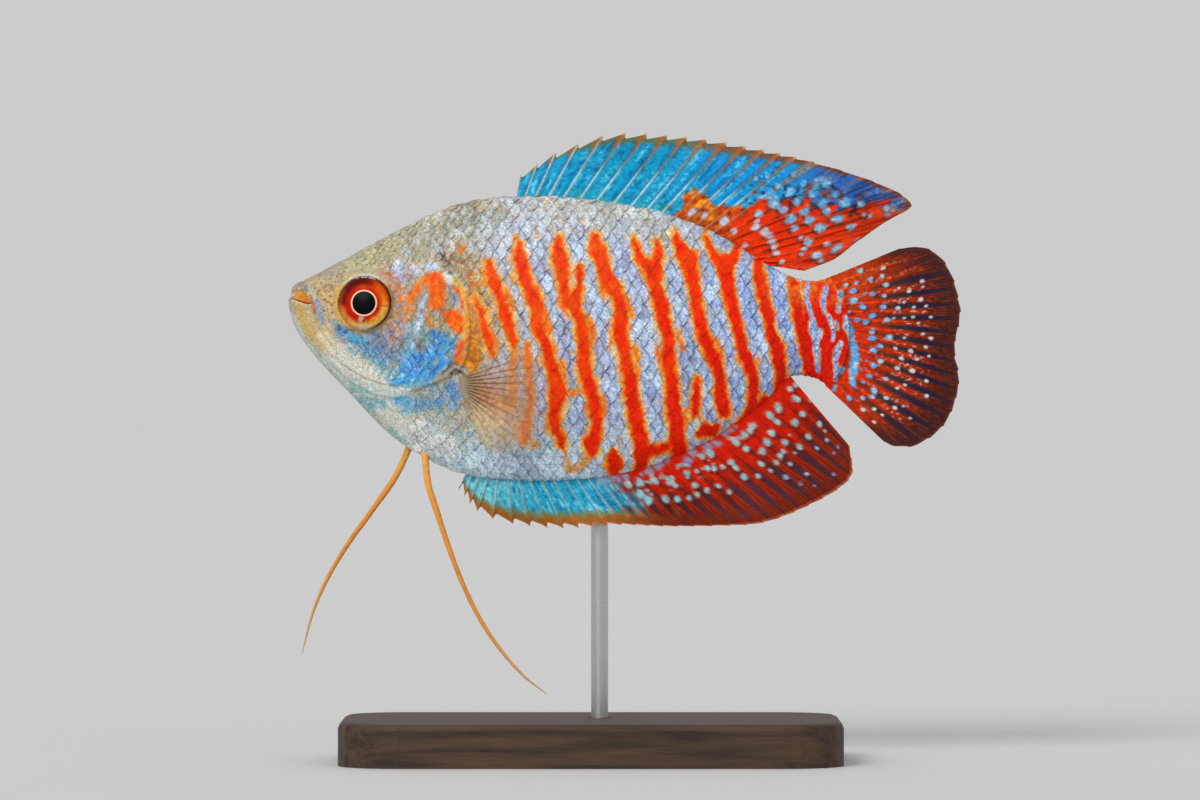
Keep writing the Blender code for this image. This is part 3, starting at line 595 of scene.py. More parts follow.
def lip_relief(u, v):
    """Both lips and the gap between them."""
    gap = v - mouth_line(u)
    fade = ramp(3.0, 1.9, u)
    height = UPPER_LIP[0] * peak(gap, *UPPER_LIP[1:]) * fade * ramp(0.1, 0.6, u)
    height += LOWER_LIP[0] * ramp(-0.02, -0.1, gap) * peak(gap, *LOWER_LIP[1:]) * fade
    height -= WEDGE_DEPTH * area_amount(u, v, MOUTH_WEDGE, 0.14)
    return height - MOUTH_GAP[0] * peak(gap, *MOUTH_GAP[1:]) * ramp(2.7, 2.4, u)


def cover_relief(u, v):
    """The gill cover's raised free edge and the fold behind it."""
    distance, along = cover_distance(u, v)
    cover = np.where(distance < 0, np.exp(distance / 3.0), 1 - ramp(0.0, 0.16, distance))
    fade = ramp(0.0, 0.12, along) * ramp(1.0, 0.7, along)
    return (COVER_HEIGHT * cover - COVER_FOLD[0] * peak(distance, *COVER_FOLD[1:])) * fade


def relief(u, v):
    """How far the skin stands out of the plain body."""
    height = 0.035 * layered_noise(11, 2.2, u, v) + lip_relief(u, v) + cover_relief(u, v)
    for line in RELIEF:
        height += line_relief(u, v, *line)
    height -= PORE_DEPTH * sum(pore_amount(u, v, 0.11))
    for radius in nostril_radii(u, v):
        height += 0.1 * peak(radius, 1.0, 0.25) - 0.16 * np.exp(-(radius / 0.6) ** 4)
    radius, _ = around(u, v, EYE_CENTRE)
    for ring_height, ring_radius, width in EYE_RINGS:
        height += ring_height * peak(radius, ring_radius, width)
    return height - SOCKET_DEPTH * ramp(EYE_OPENING + 0.06, EYE_OPENING - 0.1, radius)


def scaled_share(u, v):
    """1 where the body carries scales, 0 on the bare head."""
    distance = outline_distance(u, v, SCALED_HEAD, 0.8)
    head = np.where(inside(u, v, SCALED_HEAD), ramp(0.0, 0.6, distance), 0.0)
    cover, _ = cover_distance(u, v)
    return np.maximum(head, ramp(13.0, 15.0, u) * ramp(0.0, 0.3, cover))


BODY, RING_LENGTHS, LEVEL_LENGTHS = bare_body()
BODY_NORMALS = normals_of(BODY, True)
if BODY_NORMALS[len(STATIONS) // 2, RING_POINTS // 4, 1] > 0:
    BODY_NORMALS = -BODY_NORMALS
BODY_U, BODY_V = BODY[..., 0], BODY[..., 2]
BED = BODY - BODY_NORMALS * COAT_DEPTH * scaled_share(BODY_U, BODY_V)[..., None]
SKIN_RELIEF = relief(BODY_U, BODY_V)
SKIN = BED + BODY_NORMALS * SKIN_RELIEF[..., None]
SKIN_NORMALS = normals_of(SKIN, True)
SKIN_NORMALS *= np.sign(np.sum(SKIN_NORMALS * BODY_NORMALS, -1, keepdims=True))


def on_surface(grid, normals, u, round_distance, side):
    """Points and normals of a body grid at u and a distance round from the widest level."""
    row = np.interp(u, STATIONS, np.arange(len(STATIONS)))
    first = np.clip(row.astype(int), 0, len(STATIONS) - 2)
    share = (row - first)[..., None]
    results = []
    for station in (first, first + 1):
        spacing = RING_LENGTHS[station] / RING_POINTS
        place = (LEVEL_LENGTHS[station] + round_distance) / spacing
        if side == RIGHT:
            place = RING_POINTS - place
        column = np.floor(place).astype(int)
        part = (place - column)[..., None]
        low, high = column % RING_POINTS, (column + 1) % RING_POINTS
        results.append([source[station, low] * (1 - part) + source[station, high] * part
                        for source in (grid, normals)])
    point, normal = (first_one * (1 - share) + second_one * share
                     for first_one, second_one in zip(*results))
    return point, unit(normal)


# Strokes of paint are lines of (x, y, width) in the photograph's pixels
# Red bands of the flank: (strength, line)
BANDS = (
    (0.85, ((477, 300, 4), (481, 310, 6), (483, 320, 7), (485, 330, 8), (489, 338, 9),
            (491, 346, 9), (493, 355, 6))),
    (1.0, ((490, 263, 4), (490, 268, 8), (493, 277, 10), (496, 287, 13), (500, 295, 8),
           (502, 303, 9), (505, 311, 11), (508, 320, 11), (510, 330, 10), (513, 338, 9),
           (514, 345, 6))),
    (0.5, ((514, 348, 9), (513, 362, 6), (513, 376, 6), (513, 393, 9), (511, 408, 8), (502, 404, 6))),
    (0.6, ((528, 345, 8), (528, 362, 9), (529, 377, 7), (531, 400, 7), (528, 418, 10),
           (524, 428, 13), (524, 438, 12))),
    (1.0, ((520, 244, 4), (520, 251, 9), (521, 260, 13), (522, 270, 13), (526, 279, 13),
           (530, 290, 11), (535, 300, 15), (537, 310, 13), (537, 320, 12), (540, 330, 12),
           (545, 340, 11), (547, 350, 10), (549, 359, 11), (553, 368, 13), (556, 380, 13),
           (558, 390, 17), (558, 400, 16), (555, 410, 13), (554, 420, 13), (556, 430, 11),
           (561, 438, 8), (562, 446, 7))),
    (1.0, ((559, 238, 4), (558, 248, 10), (559, 258, 16), (561, 268, 15), (563, 278, 12),
           (564, 288, 9), (566, 298, 10), (568, 308, 9))),
    (1.0, ((579, 268, 5), (580, 275, 8), (580, 284, 7), (577, 293, 9), (575, 301, 13),
           (575, 310, 12), (579, 318, 9), (582, 326, 11), (583, 335, 13), (584, 345, 13),
           (584, 355, 13), (584, 365, 13), (586, 375, 13), (589, 385, 13), (593, 395, 12),
           (595, 405, 13), (596, 415, 13), (597, 425, 10), (594, 435, 14), (591, 443, 17),
           (591, 450, 12))),
    (1.0, ((595, 238, 7), (595, 244, 12), (598, 252, 15), (602, 262, 15), (604, 272, 13),
           (608, 281, 15), (613, 288, 17), (618, 296, 11), (620, 305, 12), (621, 315, 14),
           (621, 325, 15), (620, 335, 15), (623, 345, 14), (625, 355, 12), (627, 365, 12),
           (629, 375, 13), (630, 385, 14), (631, 395, 14), (633, 405, 14), (635, 415, 15),
           (637, 425, 15), (640, 435, 14), (641, 445, 15), (642, 455, 17), (640, 465, 11),
           (637, 474, 6))),
    (0.8, ((602, 278, 7), (603, 287, 7))),
    (0.9, ((648, 451, 14), (658, 449, 12), (668, 446, 9))),
    (0.9, ((614, 452, 9), (614, 460, 18), (614, 467, 16), (614, 474, 8))),
    (1.0, ((634, 240, 5), (637, 250, 7), (641, 260, 11), (648, 268, 14))),
    (1.0, ((657, 242, 4), (658, 251, 7), (657, 262, 11), (654, 270, 14))),
    (1.0, ((652, 268, 18), (654, 278, 14), (656, 288, 12), (658, 298, 13), (661, 308, 14),
           (663, 318, 13), (665, 328, 12), (668, 338, 12), (668, 348, 13), (668, 358, 13),
           (669, 368, 13), (671, 378, 13), (672, 390, 13), (672, 402, 14), (674, 412, 16),
           (676, 422, 14), (677, 432, 14), (677, 442, 17), (679, 452, 15), (680, 461, 11))),
    (1.0, ((675, 235, 6), (677, 243, 8), (681, 251, 13), (687, 259, 18), (690, 268, 16),
           (692, 280, 13), (694, 292, 11), (696, 304, 12), (699, 316, 12), (700, 328, 13),
           (704, 338, 14), (708, 348, 14), (713, 357, 14), (717, 367, 12), (720, 379, 11),
           (720, 391, 13), (722, 403, 15), (724, 412, 13))),
    (1.0, ((692, 255, 8), (694, 264, 8))),
    (1.0, ((697, 379, 5), (697, 386, 8), (696, 396, 9), (695, 406, 9), (694, 414, 8))),
    (1.0, ((699, 434, 8), (705, 430, 14), (713, 431, 12), (717, 427, 6))),
    (0.9, ((706, 238, 6), (708, 245, 7), (713, 253, 9), (718, 261, 12))),
    (1.0, ((738, 243, 6), (736, 252, 9), (730, 261, 12))),
    (1.0, ((724, 264, 20), (726, 274, 16), (727, 286, 14), (729, 298, 12), (732, 308, 12),
           (735, 320, 12), (738, 332, 11), (741, 344, 11), (744, 354, 12), (748, 364, 13),
           (752, 374, 12), (753, 386, 12), (753, 398, 12), (753, 410, 14), (745, 420, 12),
           (734, 432, 14))),
    (1.0, ((758, 260, 9), (758, 268, 11), (760, 280, 13), (762, 292, 13), (765, 304, 13),
           (768, 316, 12), (770, 328, 11), (773, 338, 13), (777, 348, 14), (778, 358, 15),
           (780, 368, 14), (781, 380, 13), (781, 392, 13), (778, 402, 12))),
    (1.0, ((764, 402, 14), (758, 410, 14))),
    (1.0, ((793, 283, 11), (795, 292, 12), (796, 304, 12), (798, 316, 13), (801, 328, 14),
           (804, 340, 13), (806, 352, 13), (809, 362, 13), (811, 371, 10))),
    (0.35, ((590, 456, 7), (585, 462, 7), (577, 468, 5), (568, 470, 6))),
    (0.35, ((567, 460, 6), (568, 467, 6))),
)
STEM_RED_START = 59.6

# Amber patches along the bands: (strength, line)
AMBER_PATCHES = (
    (0.9, ((486, 262, 4), (485, 272, 6), (486, 284, 6))),
    (0.8, ((488, 312, 4), (490, 324, 6), (492, 334, 4))),
    (0.7, ((497, 292, 5), (499, 302, 4))),
    (0.9, ((507, 290, 5), (510, 300, 6), (513, 308, 5), (514, 320, 4))),
    (0.8, ((498, 338, 5), (499, 348, 5), (496, 356, 4))),
    (0.9, ((513, 250, 6), (513, 262, 5))),
    (0.7, ((514, 276, 4), (513, 284, 4))),
    (0.8, ((528, 262, 4), (530, 272, 4))),
    (1.0, ((536, 286, 7), (541, 296, 6), (544, 306, 4))),
    (1.0, ((545, 314, 7), (548, 324, 7), (551, 333, 5))),
    (1.0, ((553, 340, 5), (555, 350, 5), (554, 357, 3))),
    (1.0, ((562, 362, 7), (565, 374, 7), (566, 386, 6))),
    (0.9, ((571, 395, 7), (576, 392, 6), (581, 388, 4))),
    (0.9, ((547, 422, 5), (548, 429, 6))),
    (1.0, ((563, 404, 5), (560, 412, 5), (560, 424, 5))),
    (0.8, ((553, 266, 5), (556, 278, 4), (559, 290, 5), (560, 302, 5))),
    (1.0, ((567, 300, 7), (565, 308, 9), (567, 316, 6))),
    (1.0, ((587, 316, 7), (590, 324, 8), (593, 334, 7), (593, 344, 4))),
    (1.0, ((603, 396, 6), (604, 406, 6), (603, 418, 4))),
    (0.9, ((587, 406, 4), (588, 416, 4))),
    (0.9, ((593, 234, 7), (598, 239, 6))),
    (0.9, ((599, 262, 4), (600, 276, 4), (602, 290, 5), (603, 297, 5))),
    (1.0, ((626, 296, 6), (629, 306, 6), (631, 316, 4))),
    (0.9, ((611, 330, 5), (611, 340, 7), (611, 350, 4))),
    (1.0, ((635, 346, 7), (637, 356, 8), (637, 366, 6), (638, 378, 4))),
    (0.8, ((620, 366, 4), (621, 378, 4))),
    (0.8, ((641, 402, 4), (644, 416, 4))),
    (0.9, ((634, 236, 4), (636, 246, 4))),
    (1.0, ((656, 342, 4), (657, 352, 7), (659, 362, 5))),
    (1.0, ((677, 330, 5), (680, 341, 8), (683, 350, 6))),
    (1.0, ((686, 410, 7), (686, 421, 7), (684, 430, 4))),
    (0.9, ((675, 231, 6), (676, 238, 5))),
    (0.9, ((705, 231, 6), (706, 240, 6))),
    (1.0, ((715, 340, 6), (719, 350, 8), (723, 360, 5))),
    (0.7, ((700, 414, 5), (703, 420, 4))),
    (0.9, ((739, 344, 4), (738, 356, 5), (739, 364, 4))),
    (0.7, ((756, 352, 4), (758, 364, 4))),
    (1.0, ((758, 257, 9), (755, 267, 4))),
    (0.8, ((785, 344, 4), (786, 350, 5))),
    (1.0, ((792, 281, 11), (793, 286, 9))),
    (1.0, ((816, 283, 11), (816, 292, 8), (817, 303, 5), (818, 312, 4))),
    (0.8, ((829, 283, 8), (834, 289, 6))),
    (0.7, ((564, 450, 6), (567, 456, 4))),
    (0.9, ((655, 452, 8), (662, 448, 8))),
    (0.8, ((638, 468, 6), (637, 476, 5))),
    (0.8, ((680, 465, 7), (679, 472, 4))),
    (0.6, ((532, 440, 6), (537, 444, 7), (532, 450, 5))),
    (0.5, ((502, 400, 6), (510, 406, 6))),
    (0.5, ((516, 424, 5), (518, 440, 6))),
    (0.7, ((515, 236, 5), (518, 243, 6))),
    (0.5, ((537, 233, 5), (539, 238, 6))),
    (0.4, ((618, 438, 5), (619, 447, 5))),
)

# Pale stripes across the end of the tail stem
STEM_STRIPES = (
    ((808, 281, 4), (807, 290, 5), (806, 299, 6), (809, 308, 5), (811, 315, 4)),
    ((812, 320, 6), (813, 331, 10), (816, 338, 9)),
    ((820, 330, 5), (820, 336, 5)),
    ((815, 342, 7), (816, 352, 7), (817, 362, 6), (818, 371, 5)),
    ((826, 288, 5), (824, 296, 5), (822, 304, 5), (824, 312, 5)),
    ((828, 316, 5), (831, 324, 5), (833, 332, 5), (832, 340, 4)),
    ((836, 322, 4), (837, 328, 4)),
    ((840, 292, 6), (840, 299, 6)),
    ((838, 305, 5), (838, 311, 5)),
    ((846, 318, 6), (847, 326, 9), (850, 332, 8), (851, 340, 7), (854, 348, 8), (855, 358, 9),
     (854, 368, 9), (852, 378, 7), (853, 385, 5)),
    ((841, 343, 5), (837, 350, 7), (835, 360, 6), (836, 372, 6), (835, 380, 4)),
    ((842, 369, 5), (841, 372, 5)),
    ((835, 386, 5), (834, 389, 5)),
)

# Marks of the head, breast and flank: (tone, softness, strength, line)
MARKS = (
    ("mauve", 0.9, 0.75, ((296, 278, 20), (330, 264, 22), (362, 243, 22), (392, 222, 22))),
    ("olive", 0.9, 0.75, ((356, 262, 30), (392, 240, 40), (430, 215, 40))),
    ("lemon", 1.0, 0.25, ((352, 268, 14), (372, 258, 18), (392, 248, 16))),
    ("tan", 0.9, 0.85, ((318, 290, 20), (332, 300, 32), (340, 318, 30))),
    ("ochre", 1.0, 0.6, ((339, 288, 5), (336, 298, 7), (337, 310, 7), (342, 320, 6))),
    ("beige", 1.0, 0.6, ((310, 284, 12), (328, 280, 14), (344, 272, 14))),
    ("mauve", 0.8, 0.8, ((297, 284, 8), (304, 286, 8), (307, 291, 5))),
    ("jaw", 0.8, 0.9, ((300, 306, 12), (304, 318, 16), (312, 332, 16), (322, 344, 12))),
    ("ochre", 1.0, 0.45, ((299, 308, 8), (304, 322, 8), (312, 336, 7))),
    ("sand", 0.8, 0.6, ((309, 300, 5), (312, 310, 5))),
    ("mauve", 0.9, 0.7, ((289, 301, 6), (290, 306, 7), (293, 312, 6))),
    ("throat", 0.8, 0.5, ((311, 287, 5), (314, 295, 6), (317, 302, 7))),
    ("steel", 0.8, 0.75, ((317, 301, 6), (320, 309, 8), (322, 318, 7), (323, 323, 4))),
    ("rust", 0.9, 0.7, ((311, 296, 2), (314, 304, 2.5), (316, 312, 2))),
    ("throat", 1.0, 0.75, ((292, 316, 7), (302, 338, 9), (318, 362, 9), (336, 382, 9),
                           (352, 394, 10))),
    ("throat", 0.9, 0.85, ((330, 362, 14), (350, 380, 24), (376, 394, 26), (400, 404, 22))),
    ("cream", 0.8, 0.95, ((322, 334, 8), (334, 348, 14), (352, 362, 22), (376, 374, 20),
                          (396, 386, 8), (412, 388, 5))),
    ("lemon", 1.0, 0.3, ((322, 332, 8), (332, 344, 10))),
    ("steel", 0.9, 0.85, ((344, 334, 14), (362, 342, 22), (384, 348, 30), (396, 346, 28))),
    ("blue", 0.8, 0.55, ((335, 324, 7), (344, 331, 10), (356, 338, 12))),
    ("cyan", 0.9, 0.85, ((352, 340, 6), (361, 339, 8), (368, 342, 5))),
    ("dusky_blue", 1.0, 0.6, ((366, 331, 6), (376, 333, 7), (388, 340, 10), (380, 350, 12))),
    ("blue", 0.9, 0.6, ((364, 346, 8), (374, 354, 8), (386, 362, 12))),
    ("teal", 1.0, 0.5, ((378, 364, 8), (384, 372, 6))),
    ("sand", 1.0, 0.7, ((390, 286, 12), (396, 300, 14), (398, 316, 14))),
    ("steel", 1.0, 0.55, ((404, 284, 8), (403, 296, 7), (404, 306, 5))),
    ("pink", 0.9, 0.6, ((388, 322, 8), (394, 330, 13), (398, 336, 10))),
    ("rust", 0.9, 0.5, ((397, 290, 4), (398, 304, 4), (403, 314, 6))),
    ("orange", 0.9, 0.7, ((391, 278, 4), (397, 280, 7), (401, 284, 4))),
    ("steel", 0.9, 0.65, ((404, 318, 8), (404, 332, 12), (402, 346, 14), (394, 356, 10))),
    ("brown", 1.0, 0.4, ((402, 342, 6), (405, 348, 5))),
    ("blue", 0.6, 0.9, ((400, 380, 10), (412, 368, 26), (428, 360, 34), (440, 356, 24))),
    ("cyan", 0.9, 0.7, ((394, 378, 10), (412, 382, 10), (432, 378, 7))),
    ("bright_blue", 0.8, 0.85, ((434, 334, 9), (441, 340, 15), (446, 346, 14))),
    ("bright_blue", 0.9, 0.8, ((426, 372, 8), (436, 369, 10), (446, 364, 7))),
    ("bright_blue", 0.9, 0.6, ((417, 358, 8), (424, 356, 8))),
    ("cyan", 0.9, 0.6, ((452, 342, 6), (457, 342, 5))),
    ("slate", 1.0, 0.5, ((410, 302, 4), (416, 298, 6), (415, 306, 5))),
    ("ice", 0.9, 0.75, ((428, 289, 3), (425, 297, 6), (423, 306, 7), (423, 316, 7), (421, 324, 6))),
    ("cyan", 0.9, 0.55, ((417, 322, 7), (414, 332, 9), (411, 344, 9), (408, 354, 8))),
    ("teal", 0.9, 0.65, ((422, 332, 7), (428, 337, 8), (431, 343, 5))),
    ("brown", 0.9, 0.65, ((420, 344, 8), (423, 350, 7))),
    ("flame", 0.6, 0.95, ((408, 313, 4), (408, 305, 6), (411, 297, 7), (417, 290, 8),
                          (424, 284, 9), (432, 281, 9))),
    ("ochre", 0.8, 0.6, ((418, 284, 5), (426, 279, 5))),
    ("flame", 0.5, 0.98, ((436, 281, 15), (438, 287, 16), (439, 295, 14), (439, 303, 14),
                          (440, 308, 8))),
    ("red", 0.8, 0.6, ((434, 280, 8), (438, 290, 5), (438, 304, 8))),
    ("orange", 0.8, 0.8, ((430, 300, 5), (428, 309, 6), (429, 319, 7), (433, 325, 7))),
    ("olive", 0.9, 0.65, ((436, 314, 6), (436, 321, 6))),
    ("rust", 0.9, 0.5, ((443, 312, 4), (446, 320, 4))),
    ("flame", 0.45, 0.98, ((447, 313, 8), (453, 317, 14), (457, 322, 15), (460, 329, 9))),
    ("flame", 0.7, 0.9, ((454, 288, 4), (460, 291, 6), (464, 299, 5), (464, 308, 6))),
    ("violet", 0.8, 0.75, ((455, 296, 6), (457, 303, 7))),
    ("olive", 0.8, 0.7, ((449, 288, 5), (449, 298, 6), (448, 306, 5))),
    ("white", 0.8, 0.9, ((447, 277, 7), (451, 280, 8))),
    ("violet", 0.9, 0.5, ((449, 288, 5), (450, 291, 4))),
    ("lemon", 0.8, 0.9, ((456, 281, 5), (460, 286, 6), (463, 289, 4))),
    ("peach", 0.7, 0.9, ((463, 289, 4), (467, 297, 4.5), (468, 310, 4.5), (468, 320, 4))),
    ("amber", 0.6, 0.9, ((468, 318, 5), (467, 330, 5), (465, 340, 5), (462, 348, 4))),
    ("flame", 0.8, 0.8, ((463, 343, 4), (461, 349, 6), (459, 355, 6))),
    ("orange", 0.8, 0.9, ((460, 359, 7), (464, 363, 6))),
    ("sand", 0.9, 0.6, ((451, 354, 6), (451, 360, 5))),
    ("sand", 0.9, 0.7, ((471, 284, 8), (474, 294, 8), (475, 306, 8))),
    ("copper", 0.7, 0.95, ((473, 296, 7), (475, 308, 11), (476, 322, 14), (476, 336, 16),
                           (475, 350, 17), (474, 362, 15), (474, 369, 8))),
    ("brown", 0.9, 0.8, ((478, 290, 3), (479, 304, 2.5), (479, 320, 3), (480, 338, 3.5),
                         (480, 352, 3))),
    ("orange", 0.9, 0.7, ((473, 281, 5), (475, 287, 5))),
    ("white", 0.75, 0.75, ((400, 264, 10), (400, 270, 10))),
    ("white", 0.8, 0.65, ((414, 268, 8), (418, 269, 9))),
    ("ice", 0.8, 0.8, ((430, 267, 7), (436, 268, 8))),
    ("ice", 1.0, 0.6, ((406, 252, 8), (409, 253, 8))),
    ("ice", 1.0, 0.55, ((436, 249, 9), (440, 251, 8))),
    ("white", 0.9, 0.65, ((456, 233, 7), (461, 232, 8))),
    ("white", 0.9, 0.6, ((452, 245, 7), (454, 248, 6))),
    ("ice", 1.0, 0.6, ((473, 249, 8), (474, 252, 7))),
    ("ice", 1.0, 0.6, ((485, 250, 8), (487, 252, 8))),
    ("ice", 1.0, 0.5, ((483, 232, 8), (486, 236, 8))),
    ("ice", 1.0, 0.4, ((419, 240, 6), (416, 243, 6))),
    ("dark", 0.9, 0.85, ((440, 252, 2), (445, 258, 3), (450, 266, 3))),
    ("brown", 0.9, 0.6, ((453, 255, 2), (451, 262, 3), (450, 270, 3))),
    ("olive", 1.0, 0.6, ((462, 262, 14), (472, 272, 14), (480, 284, 10))),
    ("rust", 1.0, 0.4, ((466, 262, 4), (470, 272, 4), (466, 278, 4))),
    ("brown", 0.9, 0.9, ((441, 376, 2), (447, 371, 3), (451, 366, 3), (456, 364, 3), (463, 367, 3))),
    ("dark", 0.9, 0.9, ((452, 374, 2), (458, 370, 4), (464, 373, 3.5), (466, 376, 2))),
    ("sand", 1.0, 0.7, ((470, 374, 8), (474, 390, 12), (480, 404, 16))),
    ("steel", 0.9, 0.6, ((430, 386, 10), (442, 392, 12), (446, 402, 10))),
    ("blue", 1.0, 0.7, ((455, 386, 10), (456, 396, 13), (455, 405, 8))),
    ("violet", 0.9, 0.6, ((454, 380, 6), (458, 384, 5))),
    ("pink", 0.9, 0.7, ((465, 384, 3), (466, 395, 4), (464, 405, 3))),
    ("blue", 0.9, 0.6, ((398, 400, 9), (408, 404, 14), (424, 404, 13), (440, 402, 9))),
    ("cyan", 0.9, 0.5, ((404, 398, 7), (410, 410, 8))),
    ("cream", 0.8, 0.8, ((384, 388, 5), (398, 391, 6), (410, 390, 4))),
    ("cream", 1.0, 0.7, ((392, 416, 16), (416, 430, 26), (448, 446, 26))),
    ("teal", 1.0, 0.7, ((360, 400, 7), (372, 404, 10), (384, 402, 6))),
    ("teal", 1.0, 0.45, ((392, 430, 7), (404, 442, 7))),
    ("sand", 1.0, 0.5, ((484, 398, 36), (504, 424, 46))),
    ("slate", 0.9, 0.6, ((506, 266, 3), (505, 280, 3))),
    ("slate", 0.9, 0.55, ((515, 285, 3), (514, 298, 3))),
    ("brown", 0.9, 0.5, ((490, 290, 3), (490, 306, 3))),
    ("slate", 0.9, 0.6, ((521, 312, 4), (522, 328, 4))),
    ("slate", 0.9, 0.55, ((496, 312, 3), (496, 328, 3))),
    ("slate", 0.9, 0.45, ((564, 322, 5), (565, 334, 4))),
    ("slate", 0.9, 0.55, ((586, 297, 3), (588, 311, 4))),
    ("slate", 0.9, 0.45, ((596, 350, 4), (598, 364, 4))),
    ("slate", 0.9, 0.45, ((569, 350, 3), (568, 366, 3), (570, 384, 3))),
    ("dusky_blue", 0.9, 0.55, ((579, 423, 5), (580, 430, 5))),
    ("slate", 0.9, 0.4, ((643, 300, 5), (644, 318, 6))),
    ("slate", 0.9, 0.5, ((626, 261, 4), (627, 266, 4))),
)

